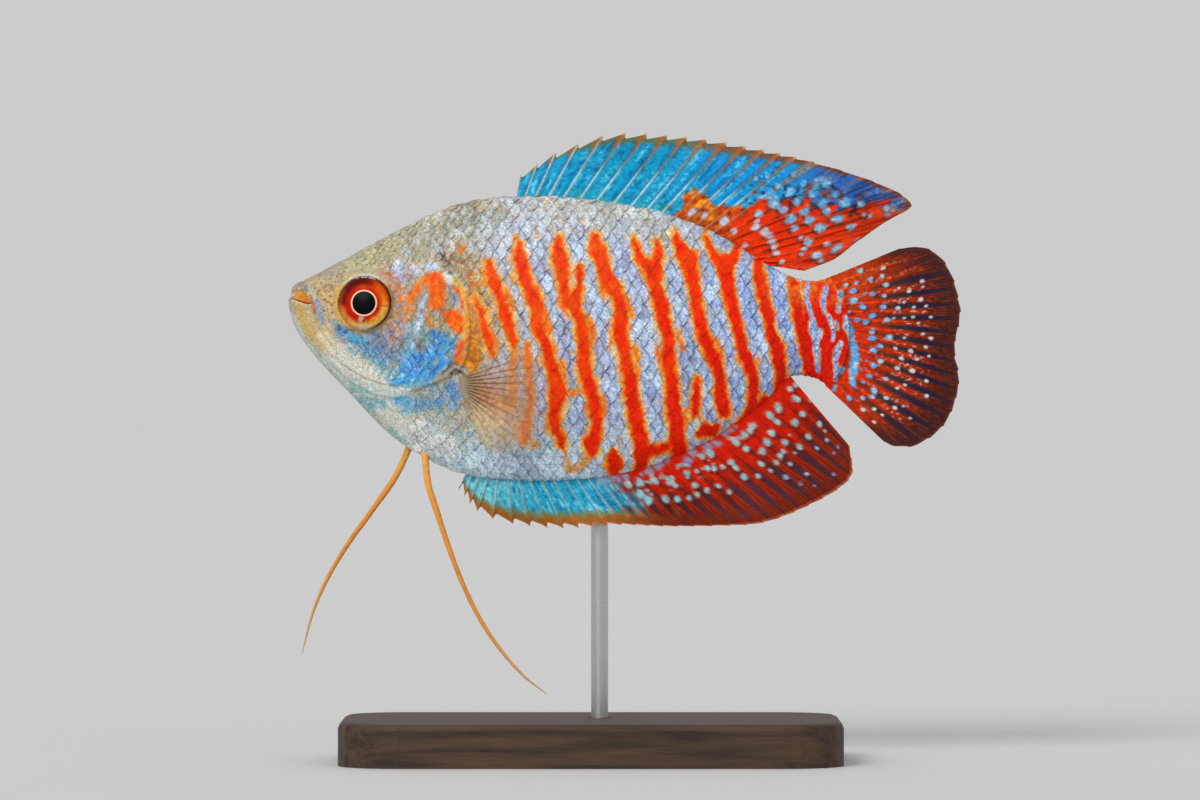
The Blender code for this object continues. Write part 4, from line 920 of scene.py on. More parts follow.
# Flecks scattered over parts of the head: (tone, size in mm, how rare, strength, line)
FLECKS = (
    ("khaki", 0.4, 0.0, 0.7, ((384, 262, 16), (396, 284, 22), (404, 306, 24), (392, 330, 18))),
    ("sienna", 0.36, 0.0, 0.8, ((388, 276, 14), (396, 292, 24), (402, 310, 26), (394, 332, 20))),
    ("orange", 0.32, 0.3, 0.8, ((392, 276, 14), (404, 294, 24), (408, 314, 20))),
    ("steel", 0.36, 0.2, 0.7, ((402, 282, 18), (404, 300, 18), (400, 322, 16), (384, 336, 16))),
    ("rust", 0.34, 0.25, 0.6, ((386, 266, 10), (408, 274, 12), (426, 274, 12), (440, 270, 10))),
    ("violet", 0.34, 0.1, 0.6, ((390, 270, 14), (410, 276, 14), (426, 272, 10))),
    ("rust", 0.34, 0.1, 0.75, ((452, 246, 14), (464, 262, 26), (476, 280, 22))),
    ("orange", 0.3, 0.35, 0.8, ((462, 252, 16), (470, 268, 20), (480, 284, 14))),
    ("brown", 0.3, 0.25, 0.8, ((444, 254, 16), (458, 264, 26), (472, 280, 26), (482, 300, 12))),
    ("orange", 0.34, 0.1, 0.8, ((409, 310, 9), (413, 298, 12), (424, 284, 13), (434, 282, 14))),
    ("flame", 0.5, -0.7, 0.85, ((409, 304, 3), (412, 297, 5), (418, 289, 5), (426, 283, 7))),
    ("flame", 0.6, -1.4, 0.95, ((436, 281, 13), (438, 287, 14), (439, 295, 13), (438, 304, 12))),
    ("amber", 0.4, 0.1, 0.8, ((441, 292, 8), (441, 300, 10))),
    ("flame", 0.6, -1.2, 0.9, ((449, 314, 8), (455, 319, 13), (458, 325, 12), (460, 331, 6))),
    ("steel", 0.5, -0.8, 0.75, ((427, 290, 3), (425, 299, 6), (423, 311, 9), (421, 324, 9))),
    ("ice", 0.4, -0.5, 0.85, ((427, 292, 3), (424, 304, 5), (422, 318, 6), (418, 332, 6),
                              (413, 346, 6))),
    ("white", 0.34, 0.0, 0.7, ((424, 302, 4), (422, 316, 5), (419, 328, 4))),
    ("olive", 0.5, -0.5, 0.5, ((434, 313, 7), (434, 320, 8))),
    ("violet", 0.5, -0.6, 0.7, ((455, 295, 5), (456, 302, 6))),
    ("amber", 0.36, 0.1, 0.7, ((450, 314, 12), (457, 322, 15), (461, 330, 10))),
    ("sienna", 0.34, 0.15, 0.7, ((426, 300, 14), (430, 316, 20), (438, 324, 14))),
    ("grey", 0.34, 0.1, 0.7, ((452, 290, 14), (452, 304, 14), (442, 316, 14))),
    ("ink", 0.28, 0.3, 0.4, ((398, 376, 20), (424, 362, 36), (444, 350, 30))),
    ("bright_blue", 0.34, 0.1, 0.6, ((402, 378, 20), (426, 364, 34), (444, 352, 28))),
    ("cyan", 0.36, 0.1, 0.7, ((396, 380, 16), (420, 372, 36), (446, 348, 26))),
    ("ice", 0.3, 0.4, 0.5, ((404, 372, 24), (432, 352, 36), (450, 340, 22))),
    ("khaki", 0.34, 0.3, 0.6, ((416, 342, 18), (436, 356, 30), (446, 366, 14))),
    ("grey", 0.4, 0.0, 0.6, ((352, 334, 16), (372, 338, 22), (392, 346, 26), (404, 334, 20))),
    ("ink", 0.32, 0.3, 0.6, ((344, 328, 14), (368, 336, 22), (392, 348, 26))),
    ("teal", 0.36, 0.1, 0.7, ((346, 338, 14), (366, 350, 22), (384, 366, 20))),
    ("cream", 0.34, 0.3, 0.7, ((352, 346, 20), (376, 362, 22), (396, 382, 16))),
    ("teal", 0.4, 0.2, 0.6, ((356, 394, 20), (380, 404, 26), (408, 404, 30), (440, 410, 30))),
    ("cream", 0.34, 0.3, 0.7, ((372, 396, 20), (402, 412, 26), (440, 430, 36))),
    ("ochre", 0.3, 0.35, 0.25, ((306, 290, 20), (328, 290, 34), (346, 270, 30), (376, 250, 30))),
    ("grey", 0.3, 0.0, 0.36, ((302, 282, 18), (326, 276, 34), (352, 258, 34), (384, 238, 40))),
    ("steel", 0.3, 0.4, 0.5, ((340, 272, 20), (364, 254, 30), (396, 236, 40), (430, 220, 44))),
    ("tan", 0.32, 0.3, 0.5, ((378, 250, 26), (404, 236, 40), (436, 222, 44))),
    ("grey", 0.3, 0.3, 0.35, ((400, 236, 40), (436, 222, 44), (466, 210, 40))),
    ("ice", 0.34, 0.2, 0.5, ((430, 226, 30), (466, 216, 44), (500, 210, 40), (540, 206, 30))),
    ("white", 0.3, 0.3, 0.5, ((380, 404, 16), (412, 428, 30), (448, 448, 30))),
    ("ice", 0.5, -1.0, 0.75, ((399, 264, 6), (400, 271, 7))),
    ("ice", 0.5, -1.0, 0.6, ((416, 269, 6), (418, 272, 7))),
    ("ice", 0.5, -1.0, 0.75, ((431, 267, 6), (436, 268, 7))),
    ("white", 0.5, -1.2, 0.8, ((447, 276, 6), (450, 281, 7))),
    ("lemon", 0.5, -1.2, 0.8, ((455, 280, 4), (459, 284, 5))),
    ("peach", 0.6, -1.4, 0.85, ((460, 285, 3.5), (465, 294, 4.5), (468, 306, 5), (468, 320, 5),
                                (466, 334, 4.5), (463, 344, 3))),
    ("flame", 0.4, -0.4, 0.7, ((463, 342, 4), (461, 349, 7), (459, 357, 8), (461, 362, 6))),
    ("gold", 0.34, 0.0, 0.6, ((474, 304, 8), (477, 324, 12), (477, 344, 14), (475, 362, 12))),
    ("rust", 0.3, 0.1, 0.7, ((474, 300, 8), (476, 324, 13), (476, 346, 14), (474, 364, 12))),
    ("brown", 0.5, -0.6, 0.7, ((481, 288, 3), (481, 304, 3), (481, 322, 3.5), (482, 342, 3),
                               (481, 358, 3))),
    ("brown", 0.24, 0.5, 0.6, ((312, 294, 20), (332, 298, 30), (340, 316, 24))),
    ("lemon", 0.3, 0.1, 0.6, ((462, 288, 5), (467, 300, 6), (470, 318, 8), (470, 336, 8))),
    ("pink", 0.6, 0.1, 0.6, ((390, 278, 12), (398, 296, 16), (404, 316, 18), (396, 338, 14))),
    ("violet", 0.5, 0.15, 0.6, ((396, 272, 12), (404, 296, 16), (400, 320, 18), (388, 338, 16))),
    ("amber", 0.4, 0.3, 0.8, ((388, 284, 10), (400, 296, 14), (402, 316, 14))),
    ("ochre", 0.3, 0.25, 0.55, ((440, 202, 30), (500, 200, 34), (570, 204, 34), (640, 220, 26))),
    ("white", 0.34, 0.2, 0.6, ((450, 222, 40), (510, 222, 44), (580, 224, 40), (650, 236, 26))),
    ("tan", 0.5, 0.25, 0.5, ((540, 226, 16), (580, 226, 18), (620, 232, 16), (690, 244, 12))),
    ("lemon", 0.4, 0.25, 0.4, ((456, 420, 30), (500, 434, 34), (552, 446, 24), (600, 452, 12))),
    ("teal", 0.4, 0.2, 0.45, ((470, 436, 26), (520, 448, 26), (580, 454, 16))),
    ("slate", 0.3, 0.1, 0.55, ((543, 342, 4), (545, 356, 5), (544, 374, 4))),
    ("slate", 0.3, 0.1, 0.55, ((590, 384, 4), (592, 400, 5), (588, 420, 4))),
    ("dusky_blue", 0.4, 0.0, 0.55, ((556, 410, 10), (578, 424, 14), (600, 430, 14))),
    ("orange", 0.34, -0.1, 0.7, ((408, 310, 9), (413, 298, 11), (424, 284, 13), (437, 284, 17))),
    ("amber", 0.34, 0.0, 0.7, ((438, 284, 16), (440, 296, 16), (440, 308, 10))),
    ("khaki", 0.3, 0.3, 0.6, ((409, 306, 9), (414, 296, 11), (426, 284, 13), (439, 296, 14))),
    ("gold", 0.4, -0.2, 0.85, ((471, 300, 8), (474, 320, 13), (475, 342, 15), (473, 364, 13))),
    ("rust", 0.3, 0.25, 0.7, ((472, 300, 8), (474, 320, 13), (475, 342, 15), (473, 364, 13))),
    ("violet", 0.4, 0.0, 0.6, ((453, 382, 8), (457, 394, 11), (455, 404, 8))),
    ("bright_blue", 0.34, 0.0, 0.6, ((452, 386, 8), (456, 396, 10))),
    ("sienna", 0.28, 0.15, 0.7, ((470, 290, 8), (473, 310, 12), (473, 334, 14), (472, 360, 12))),
    ("gold", 0.34, 0.15, 0.55, ((486, 288, 20), (494, 312, 26), (504, 336, 26))),
    ("lemon", 0.4, 0.2, 0.5, ((482, 262, 24), (496, 290, 30), (508, 322, 30), (520, 350, 20))),
    ("ochre", 0.34, 0.3, 0.5, ((500, 256, 20), (520, 290, 30), (532, 326, 30))),
)


def stroke_distance(u, v, points, spread, reach):
    """Distance to a stroke's line, and half the stroke's width at the nearest point."""
    halves = [width / 2 * PHOTO_MM for _, _, width in points]
    distance, along = line_distance(u, v, photo(points), max(halves) * spread + reach)
    return distance, np.interp(along, np.linspace(0.0, 1.0, len(points)), halves)


def stroke_amount(u, v, wobble, softness, points):
    """How much of a soft-edged stroke covers each place."""
    distance, half = stroke_distance(u, v, points, 1 + softness, 0.5)
    return ramp(half * (1 + softness), half * (1 - softness), distance + wobble)


def edge_distance(u, v, points, reach):
    """Distance outward from a stroke's edge, up to reach."""
    distance, half = stroke_distance(u, v, points, 1.0, reach)
    return distance - half


def ground_paint(u, v):
    """Colour of the body without its bands and marks."""
    plain = body_height(u, v)
    wander = 0.07 * layered_noise(21, 2.4, u, v)
    height = plain + wander
    head = ramp(25.5, 20.5, u + 12 * wander)
    top = ramp(0.8, 0.94, height) * ramp(56.0, 40.0, u)
    middle = ramp(0.92, 0.6, height) * ramp(0.3, 0.5, height)
    patches = layered_noise(23, 1.1, u, v)
    colour = layered(
        mix("lavender", "sky", ramp(38.0, 60.0, u + 25 * wander)),
        ("sky", 0.4 * ramp(30.0, 52.0, u) * ramp(0.6, 0.2, height)),
        ("azure", 0.55 * ramp(0.1, 0.6, layered_noise(29, 1.6, u, v)) * ramp(34.0, 54.0, u)),
        ("ice", 0.75 * ramp(0.0, 0.55, patches)),
        ("violet", 0.55 * ramp(-0.05, -0.6, patches)),
        ("grey", 0.5 * ramp(0.15, 0.65, layered_noise(27, 0.9, u, v))),
        ("back", 0.78 * top),
        ("olive", 0.45 * ramp(33.0, 24.0, u) * middle),
        ("khaki", 0.85 * head),
        ("belly", ramp(0.24, 0.08, height) * ramp(48.0, 36.0, u)),
        ("beige", 0.6 * ramp(18.0, 10.0, u)))
    # Painted light: near the belly's edge the colour is made brighter, against the shade of the body's
    # underside
    under = ramp(0.17, 0.03, plain) * ramp(9.0, 16.0, u) * ramp(54.0, 44.0, u)
    flecks = layered_noise(25, 0.5, u, v)
    warm = np.maximum(top, head)
    sparkle = noise(103, u / 0.3, v / 0.22) * ramp(21.0, 27.0, u)
    colour = layered(
        colour * (1 + 0.18 * under[..., None]),
        ("ochre", 0.28 * warm * ramp(0.2, 0.8, flecks)),
        ("ice", 0.45 * warm * ramp(-0.2, -0.8, flecks)),
        ("white", (0.3 + 0.3 * ramp(0.1, 0.3, height)) * ramp(0.28, 0.72, sparkle)),
        ((116, 130, 178), 0.42 * ramp(-0.3, -0.75, sparkle)))
    # Painted shade: the head is darker towards its top profile, where its surface turns away from the
    # light
    return colour * (1 - 0.16 * (ramp(0.8, 1.0, plain) * head)[..., None])


def mark_paint(colour, u, v, wobble):
    """Colour with the marks of the head, breast and flank, and the flecks over them."""
    vary = 1 + 0.3 * noise(BODY_SEED + 7, u / 0.35, v / 0.35)
    for name, softness, strength, points in MARKS:
        amount = strength * stroke_amount(u, v, wobble, softness, points) * vary
        colour = mix(colour, name, np.clip(amount, 0.0, 1.0))
    for number, (name, size, rarity, strength, points) in enumerate(FLECKS):
        field = noise(BODY_SEED + 20 + number, u / size, v / size)
        cover = stroke_amount(u, v, wobble, 0.8, points)
        colour = mix(colour, name, strength * cover * ramp(rarity, rarity + 0.35, field))
    return colour


def band_heat(u, v, pigment_u, pigment_v, wobble):
    """How red each place is, from 0 to 1, and how near it is to a band."""
    heat = ramp(STEM_RED_START - 0.3, STEM_RED_START + 0.3, u + wobble)
    halo, glow = np.zeros(u.shape), np.zeros(u.shape)
    ragged = (0.2 * layered_noise(BODY_SEED + 3, 0.6, pigment_u, pigment_v)
              + 0.12 * noise(BODY_SEED + 4, pigment_u / 0.22, pigment_v / 0.22))
    for strength, points in BANDS:
        edge = edge_distance(pigment_u, pigment_v, points, 1.6) + ragged
        heat = np.maximum(heat, strength * ramp(0.46, -0.46, edge))
        halo = np.maximum(halo, strength * ramp(1.3, 0.1, edge))
    for strength, points in AMBER_PATCHES:
        edge = edge_distance(pigment_u, pigment_v, points, 1.0) + 1.4 * ragged
        glow = np.maximum(glow, strength * ramp(0.26, -0.34, edge))
    heat = np.maximum(heat, 0.54 * glow)
    for points in STEM_STRIPES:
        heat = heat * (1 - stroke_amount(u, v, 0.5 * wobble, 0.35, points))
    return heat, halo


def body_paint(u, v, pigment_u, pigment_v):
    """Colour of the body with its bands and marks.

    The pigment point is where the bands are read: a scale pulls it towards its own middle.
    """
    wobble = (0.14 * layered_noise(BODY_SEED, 0.9, u, v)
              + 0.12 * noise(BODY_SEED + 8, u / 0.3, v / 0.3))
    colour = mark_paint(ground_paint(u, v), u, v, wobble)
    heat, halo = band_heat(u, v, pigment_u, pigment_v, wobble)
    chance = noise(BODY_SEED + 6, u / 0.55, v / 0.55)
    fringe = (layered_noise(BODY_SEED + 10, 0.9, u, v)
              + 0.5 * noise(BODY_SEED + 11, u / 0.3, v / 0.3))
    rosy = halo * ramp(-0.5, 0.5, layered_noise(BODY_SEED + 9, 1.2, u, v))
    golden = ramp(0.66 - 0.4 * fringe, 0.94 - 0.3 * fringe, halo) * ramp(58.0, 40.0, u)
    depth = (0.5 + 0.6 * noise(BODY_SEED + 5, u / 1.1, v / 1.1)).clip(0, 1)
    hot = layered(
        mix("flame", "red", ramp(30.0, 58.0, u - 1.1 * v)),
        ("deep_red", 0.65 * ramp(0.6, 1.0, heat) * depth),
        ((212, 22, 0), 0.7 * ramp(48.0, 60.0, u - 0.6 * v)))
    upper = (ramp(-0.6, 1.3, v + wobble) * ramp(53.0, 58.0, u)
             * ramp(-0.8, 0.05, layered_noise(BODY_SEED + 13, 0.8, u, v)))
    stem_orange = mix((250, 132, 28), (212, 104, 34),
                      0.5 + 0.8 * noise(BODY_SEED + 12, u / 0.4, v / 0.4))
    # From outside a band inwards: rosy, golden, peach, amber, orange, red
    return layered(
        colour,
        ((196, 150, 148), 0.5 * rosy * ramp(60.0, 40.0, u)),
        (mix((240, 176, 84), (244, 206, 118), 0.5 + 0.6 * chance), 0.8 * golden),
        (mix((222, 146, 100), (246, 178, 84), 0.5 + 0.5 * chance), 0.75 * ramp(0.02, 0.24, heat)),
        (mix((236, 112, 30), (252, 158, 40), 0.5 + 0.6 * chance), 0.9 * ramp(0.2, 0.46, heat)),
        ((250, 88, 6), ramp(0.46, 0.68, heat)),
        (hot, ramp(0.62, 0.92, heat)),
        (stem_orange, 0.85 * upper * ramp(0.3, 0.8, heat)))


def grained(colour, u, v, seed, amount):
    """Colour with the fine light and dark grain of the skin."""
    grain = layered_noise(seed, 0.24, u, v) * amount * (0.6 + 0.4 * ramp(20.0, 27.0, u))
    return colour * (1 + grain[..., None])


MATERIALS = {}


def set_values(tree, made, **values):
    """Set a node's inputs or properties by name; an output of another node is linked."""
    for key, value in values.items():
        socket = made.inputs.get(key.replace("_", " "))
        if socket is None:
            setattr(made, key, value)
        elif isinstance(value, bpy.types.NodeSocket):
            tree.links.new(value, socket)
        else:
            socket.default_value = value


def node(tree, kind, *inputs, **values):
    """New shader node, with inputs in their order and then inputs or properties by name."""
    made = tree.nodes.new("ShaderNode" + kind)
    for socket, value in zip(made.inputs, inputs):
        if isinstance(value, bpy.types.NodeSocket):
            tree.links.new(value, socket)
        else:
            socket.default_value = value
    set_values(tree, made, **values)
    return made


def new_material(name):
    """New material, its node tree and its surface shader."""
    material = bpy.data.materials.new(name)
    material.use_nodes = True
    return material, material.node_tree, material.node_tree.nodes["Principled BSDF"]


def painted_material(name, roughness, grain, bump, specular, grain_size=0.16, opacity=False,
                     coat=0.0, pebbles=False):
    """Material that takes its colour from the paint, with fine grain, roughness and bump."""
    material, tree, shader = new_material(name)
    paint = node(tree, "Attribute", attribute_name="paint").outputs["Color"]
    place = node(tree, "TexCoord").outputs["Object"]
    speckle = node(tree, "TexNoise", Vector=place, Scale=1 / (grain_size * MM), Detail=3.0,
                   Roughness=0.65)
    fleck = speckle.outputs["Fac"]
    grey = node(tree, "MixRGB", 0.3, fleck, speckle.outputs["Color"])
    spread = node(tree, "VectorMath", grey.outputs["Color"], (grain,) * 3, (1 - grain / 2,) * 3,
                  operation="MULTIPLY_ADD")
    # The reds have less grain than the pale colours
    blue = node(tree, "SeparateColor", Color=paint).outputs["Blue"]
    calm = node(tree, "MapRange", Value=blue, From_Min=0.02, From_Max=0.2, To_Min=0.65, To_Max=0.0)
    steady = node(tree, "MixRGB", calm.outputs["Result"], spread.outputs["Vector"], (1.0,) * 4)
    product = node(tree, "VectorMath", paint, steady.outputs["Color"], operation="MULTIPLY")
    shine = node(tree, "MapRange", Value=fleck, From_Min=0.3, From_Max=0.7,
                 To_Min=roughness - 0.08, To_Max=roughness + 0.12)
    bumps = node(tree, "Bump", Height=fleck, Strength=bump, Distance=GRAIN_DEPTH * MM)
    if pebbles:
        pebble = node(tree, "TexVoronoi", feature="SMOOTH_F1", Vector=place,
                      Scale=1 / (PEBBLE_SIZE * MM))
        dents = node(tree, "Bump", Height=pebble.outputs["Distance"], Strength=0.35,
                     Distance=PEBBLE_DEPTH * MM, invert=True)
        set_values(tree, bumps, Normal=dents.outputs["Normal"])
    if opacity:
        clear = node(tree, "Attribute", attribute_name="opacity")
        set_values(tree, shader, Alpha=clear.outputs["Fac"])
    set_values(tree, shader, Base_Color=product.outputs["Vector"], Specular_IOR_Level=specular,
               Roughness=shine.outputs["Result"], Normal=bumps.outputs["Normal"],
               Coat_Weight=coat, Coat_Roughness=0.08)
    MATERIALS[name] = material


def world_points(points):
    """Scene positions in metres of (u, y, v) points in millimetres."""
    return (points.reshape(-1, 3) + (SNOUT_X, 0.0, MOUTH_Z)) * MM


def make_piece(name, points, faces, colours, material, slot, replaced=(), opacity=None, uv=None):
    """Piece of the model from points, faces and display colours, riding on the frame."""
    mesh = bpy.data.meshes.new(name)
    mesh.from_pydata(world_points(points), [], faces)
    paint = mesh.attributes.new("paint", "FLOAT_COLOR", "POINT")
    linear = np.ones((len(mesh.vertices), 4))
    linear[:, :3] = to_linear(colours.reshape(-1, 3))
    paint.data.foreach_set("color", linear.ravel())
    if opacity is not None:
        clear = mesh.attributes.new("opacity", "FLOAT", "POINT")
        clear.data.foreach_set("value", opacity.ravel().astype(float))
    if uv is not None:
        layer = mesh.uv_layers.new(name="OFBake")
        corners = np.zeros(len(mesh.loops), int)
        mesh.loops.foreach_get("vertex_index", corners)
        layer.data.foreach_set("uv", uv.reshape(-1, 2)[corners].ravel())
    mesh.validate()
    mesh.shade_smooth()
    mesh.set_sharp_from_angle(angle=SHARP_ANGLE)
    item = bpy.data.objects.new(name, mesh)
    bpy.context.scene.collection.objects.link(item)
    mesh.materials.append(MATERIALS[material])
    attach(item, "root")
    if replaced:
        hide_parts(*replaced)


def grid_faces(rows, columns, wrap=False, offset=0, flip=False):
    """Quads of a grid of points, the columns closed into a ring where wrap is set."""
    index = np.arange(rows * columns).reshape(rows, columns) + offset
    across = np.roll(index, -1, 1) if wrap else index[:, 1:]
    here = index if wrap else index[:, :-1]
    quads = np.stack([here[:-1], across[:-1], across[1:], here[1:]], -1).reshape(-1, 4)
    return (quads[:, ::-1] if flip else quads).tolist()


def tube_faces(rows, sides):
    """Faces of a tube of rings, closed at both ends."""
    last = (rows - 1) * sides
    ends = [list(range(sides))[::-1], list(range(last, last + sides))]
    return grid_faces(rows, sides, wrap=True) + ends


def skin_paint(u, v):
    """Colour of the skin with its grooves, mouth, nostrils, pores and the eyes' rims, with painted
    shade in its grooves, pits, mouth gap and eye sockets.
    """
    broken = 0.6 + 0.4 * noise(49, u / 0.7, v / 0.7)
    deep = ramp(0.6, 2.4, u) + 0.3 * noise(47, u / 0.3, v / 0.3)
    gap = v - mouth_line(u)
    corner = ramp(2.85, 2.5, u)
    colour = layered(
        body_paint(u, v, u, v),
        # Painted shade: brown where the skin is sunken, in its grooves, pits, mouth gap and eye
        # sockets
        ((116, 92, 74), np.clip(-SKIN_RELIEF * 3.0, 0.0, 0.46) * broken),
        (mix((206, 152, 74), (214, 116, 26), deep), 0.95 * area_amount(u, v, MOUTH_WEDGE, 0.12)),
        # Painted shade: a dark line in the gap between the lips
        ((104, 54, 30), 0.75 * peak(gap, 0.06, 0.06) * corner * ramp(0.2, 1.2, u)),
        ((240, 200, 180), 0.8 * peak(gap, -0.08, 0.07) * corner))
    for radius in nostril_radii(u, v):
        colour = layered(colour, ("brown", 0.75 * peak(radius, 1.0, 0.16)),
                         ((240, 200, 160), 0.6 * peak(radius, 0.0, 0.4)))
    # Painted shade: each pore is darkened as a shaded pit
    for amount in pore_amount(u, v, 0.1):
        colour = mix(colour, (70, 52, 40), 0.8 * amount)
    radius, angle = around(u, v, EYE_CENTRE)
    rear = facing(angle, 10, -0.5, 0.4)
    return layered(
        colour,
        ("ochre", 0.6 * peak(radius, 3.3, 0.28) * (1 - rear)),
        # Painted shadow: dark olive falling below and behind the eye
        ((112, 84, 48), 0.65 * facing(angle, -40, -0.1, 0.7) * ramp(3.75, 3.15, radius)),
        ("white", 0.6 * facing(angle, 95, 0.5, 0.95) * peak(radius, 3.25, 0.18)),
        # The socket wall: tan in front, dark brown on the rear side as painted shade in the recess
        (mix((176, 120, 60), (52, 40, 30), rear),
         ramp(EYE_OPENING + 0.1, EYE_OPENING - 0.02, radius)))


def make_skin():
    """The whole body's skin as one closed surface."""
    u, v = SKIN[..., 0], SKIN[..., 2]
    colour = grained(skin_paint(u, v), u, v, GRAIN_SEED, BODY_GRAIN)
    make_piece("skin", SKIN, tube_faces(len(STATIONS), RING_POINTS), colour, "bare_skin",
               "scaled_skin",
               ("head", "lower_jaw", "gill_cover_left", "gill_cover_right", "trunk", "tail_stem"))


def scale_lattice():
    """(u, distance round from the widest level) of every scale's middle on one side."""
    fine = np.linspace(4.0, TAIL_BASE_BULGE, 2000)
    pitches = np.diff(fine) / (SCALE_PITCH * scale_size(fine[1:]))
    columns = np.concatenate(([0.0], np.cumsum(pitches)))
    places = []
    for row in range(-SCALE_ROWS, SCALE_ROWS):
        steps = np.arange(int(columns[-1]) + 1) + (0.5 if row % 2 else 0.0)
        u = np.interp(steps[steps <= columns[-1]], columns, fine)
        distance = row * ROW_PITCH * scale_size(u)
        total = np.interp(u, STATIONS, RING_LENGTHS) / 2
        below = np.interp(u, STATIONS, LEVEL_LENGTHS)
        kept = (distance > SCALE_MARGIN - below) & (distance < total - below - SCALE_MARGIN)
        places += list(zip(u[kept], distance[kept]))
    return np.array(places)


def plate(rows, columns):
    """Offsets along and round of one scale's points, how far rearward and how far round."""
    turn = np.linspace(-PLATE_TURN, PLATE_TURN, columns)[None, :]
    share = (1 - (1 - np.linspace(0.0, 1.0, rows)) ** 1.6)[:, None]
    rounded = (np.cos(turn) - math.cos(PLATE_TURN)) / (1 - math.cos(PLATE_TURN))
    rear = SCALE_SHOULDER + (SCALE_TIP - SCALE_SHOULDER) * rounded
    front = SCALE_ROOT + ROOT_CURVE * (1 - np.cos(turn))
    along = front + (rear - front) * share
    across = SCALE_HALF_HEIGHT * np.sin(turn) / math.sin(PLATE_TURN) * (0.86 + 0.14 * share)
    return along, across, share + 0 * turn, 0 * share + np.sin(turn)


def rim_of(rows, columns):
    """Indices of a plate grid's boundary, in order round it."""
    index = np.arange(rows * columns).reshape(rows, columns)
    return np.concatenate([index[0], index[1:, -1], index[-1, -2::-1], index[-2:0:-1, 0]])


def scale_paint(points, exposed, share, cross, draws, seed):
    """Colour of scales; bands are read part of the way to each scale's exposed middle."""
    u, v = points[..., 0], points[..., 2]
    count = len(points)
    middle = points[:, exposed:-1].mean(1, keepdims=True)
    colour = body_paint(u, v, u + (middle[..., 0] - u) * SCALE_PULL,
                        v + (middle[..., 2] - v) * SCALE_PULL)
    red = ramp(0.15, 0.4, colour[..., 0] - colour[..., 2])
    tint = draws.uniform(0.0, 1.0, (count, 1))
    cool = (1 - red) * (0.2 + 0.8 * ramp(20.0, 26.0, u))
    brightness = 1 + draws.normal(0.0, 0.05, (count, 1, 1)) * (1 - 0.7 * red[..., None])
    height = body_height(u, v)
    plain = (ramp(19.0, 25.0, u) * ramp(0.95, 0.8, height)
             * (0.25 + 0.75 * np.maximum(ramp(0.05, 0.3, height), ramp(32.0, 42.0, u))))
    corner = ramp(0.35, 0.8, np.abs(cross)) * ramp(-0.5, 0.5, noise(seed + 5, u / 0.4, v / 0.4))
    rim = ramp(0.915, 0.975, share) * (0.2 + 0.7 * corner)
    colour = layered(
        layered(
            colour,
            ("ice", 0.4 * ramp(0.6, 1.0, tint) * cool),
            ("violet", 0.3 * ramp(0.35, 0.0, tint) * cool)) * brightness,
        ("ice", 0.34 * ramp(0.74, 0.84, share) * ramp(0.95, 0.88, share) * cool),
        ("dusk", rim * (0.42 + 0.58 * plain) * (1 - 0.8 * red)))
    return grained(colour, u, v, GRAIN_SEED, BODY_GRAIN)


def scale_faces(rows, columns, count, side):
    """Faces of closed plates: a grid on top and a fan from its rim to the point under it."""
    rim = rim_of(rows, columns)
    fan = np.stack([np.roll(rim, -1), rim, np.full(len(rim), rows * columns)], -1)
    starts = np.arange(count)[:, None, None] * (rows * columns + 1)
    faces = []
    for one in (np.array(grid_faces(rows, columns)), fan):
        every = (one[None] + starts).reshape(-1, one.shape[1])
        faces += (every[:, ::-1] if side == LEFT else every).tolist()
    return faces


def make_coat(name, places, side, surface, plate_grid, slot, seed):
    """Thin overlapping scales on one side, each a closed plate rooted under the one before."""
    draws = np.random.default_rng(seed)
    count = len(places)
    rows, columns = plate_grid
    along, across, share, cross = plate(rows, columns)
    size = scale_size(places[:, 0])[:, None, None]
    jitter = draws.normal(0.0, SCALE_JITTER, (count, 2))[:, :, None, None]
    swell = 1 + draws.normal(0.0, SCALE_SWELL, (count, 1, 1))
    u = places[:, 0, None, None] + (along * swell + jitter[:, 0]) * size
    distance = places[:, 1, None, None] + (across * swell + jitter[:, 1]) * size
    point, normal = on_surface(*surface, u, distance, side)
    lift = draws.normal(0.0, SCALE_TILT, (count, 1, 1))
    tilt = draws.normal(0.0, SCALE_TILT, (count, 1, 1))
    height = SCALE_RISE * share ** 1.3 - SCALE_SINK - SCALE_BOW * cross ** 2 + tilt * cross
    height = height * size + lift
    top = point + normal * height[..., None]
    centre, outward = on_surface(*surface, u.mean((1, 2)), distance.mean((1, 2)), side)
    under = centre + outward * (height.mean((1, 2)) - SCALE_BODY)[:, None]
    points = np.concatenate([top.reshape(count, -1, 3), under[:, None]], 1)
    share, cross = np.append(share, 0.0), np.append(cross, 0.0)
    colour = scale_paint(points, int(rows * 0.6) * columns, share, cross, draws, seed)
    # Each scale is a small patch at its root's place on the unwrapped side
    root_u = (places[:, :1] + SCALE_ROOT * size[:, 0]) / TAIL_BASE_BULGE
    root_v = 0.46 * places[:, 1:] / (RING_LENGTHS.max() / 2)
    local_u = np.append(share[:-1] * 2 - 1, 0.0)
    uv = np.stack([0.02 + 0.94 * root_u + PATCH_SIZE * local_u,
                   0.25 + 0.48 * root_v + (0.5 if side == RIGHT else 0.0) + PATCH_SIZE * cross], -1)
    make_piece(name, points, scale_faces(rows, columns, count, side), colour, "scale", slot, uv=uv)


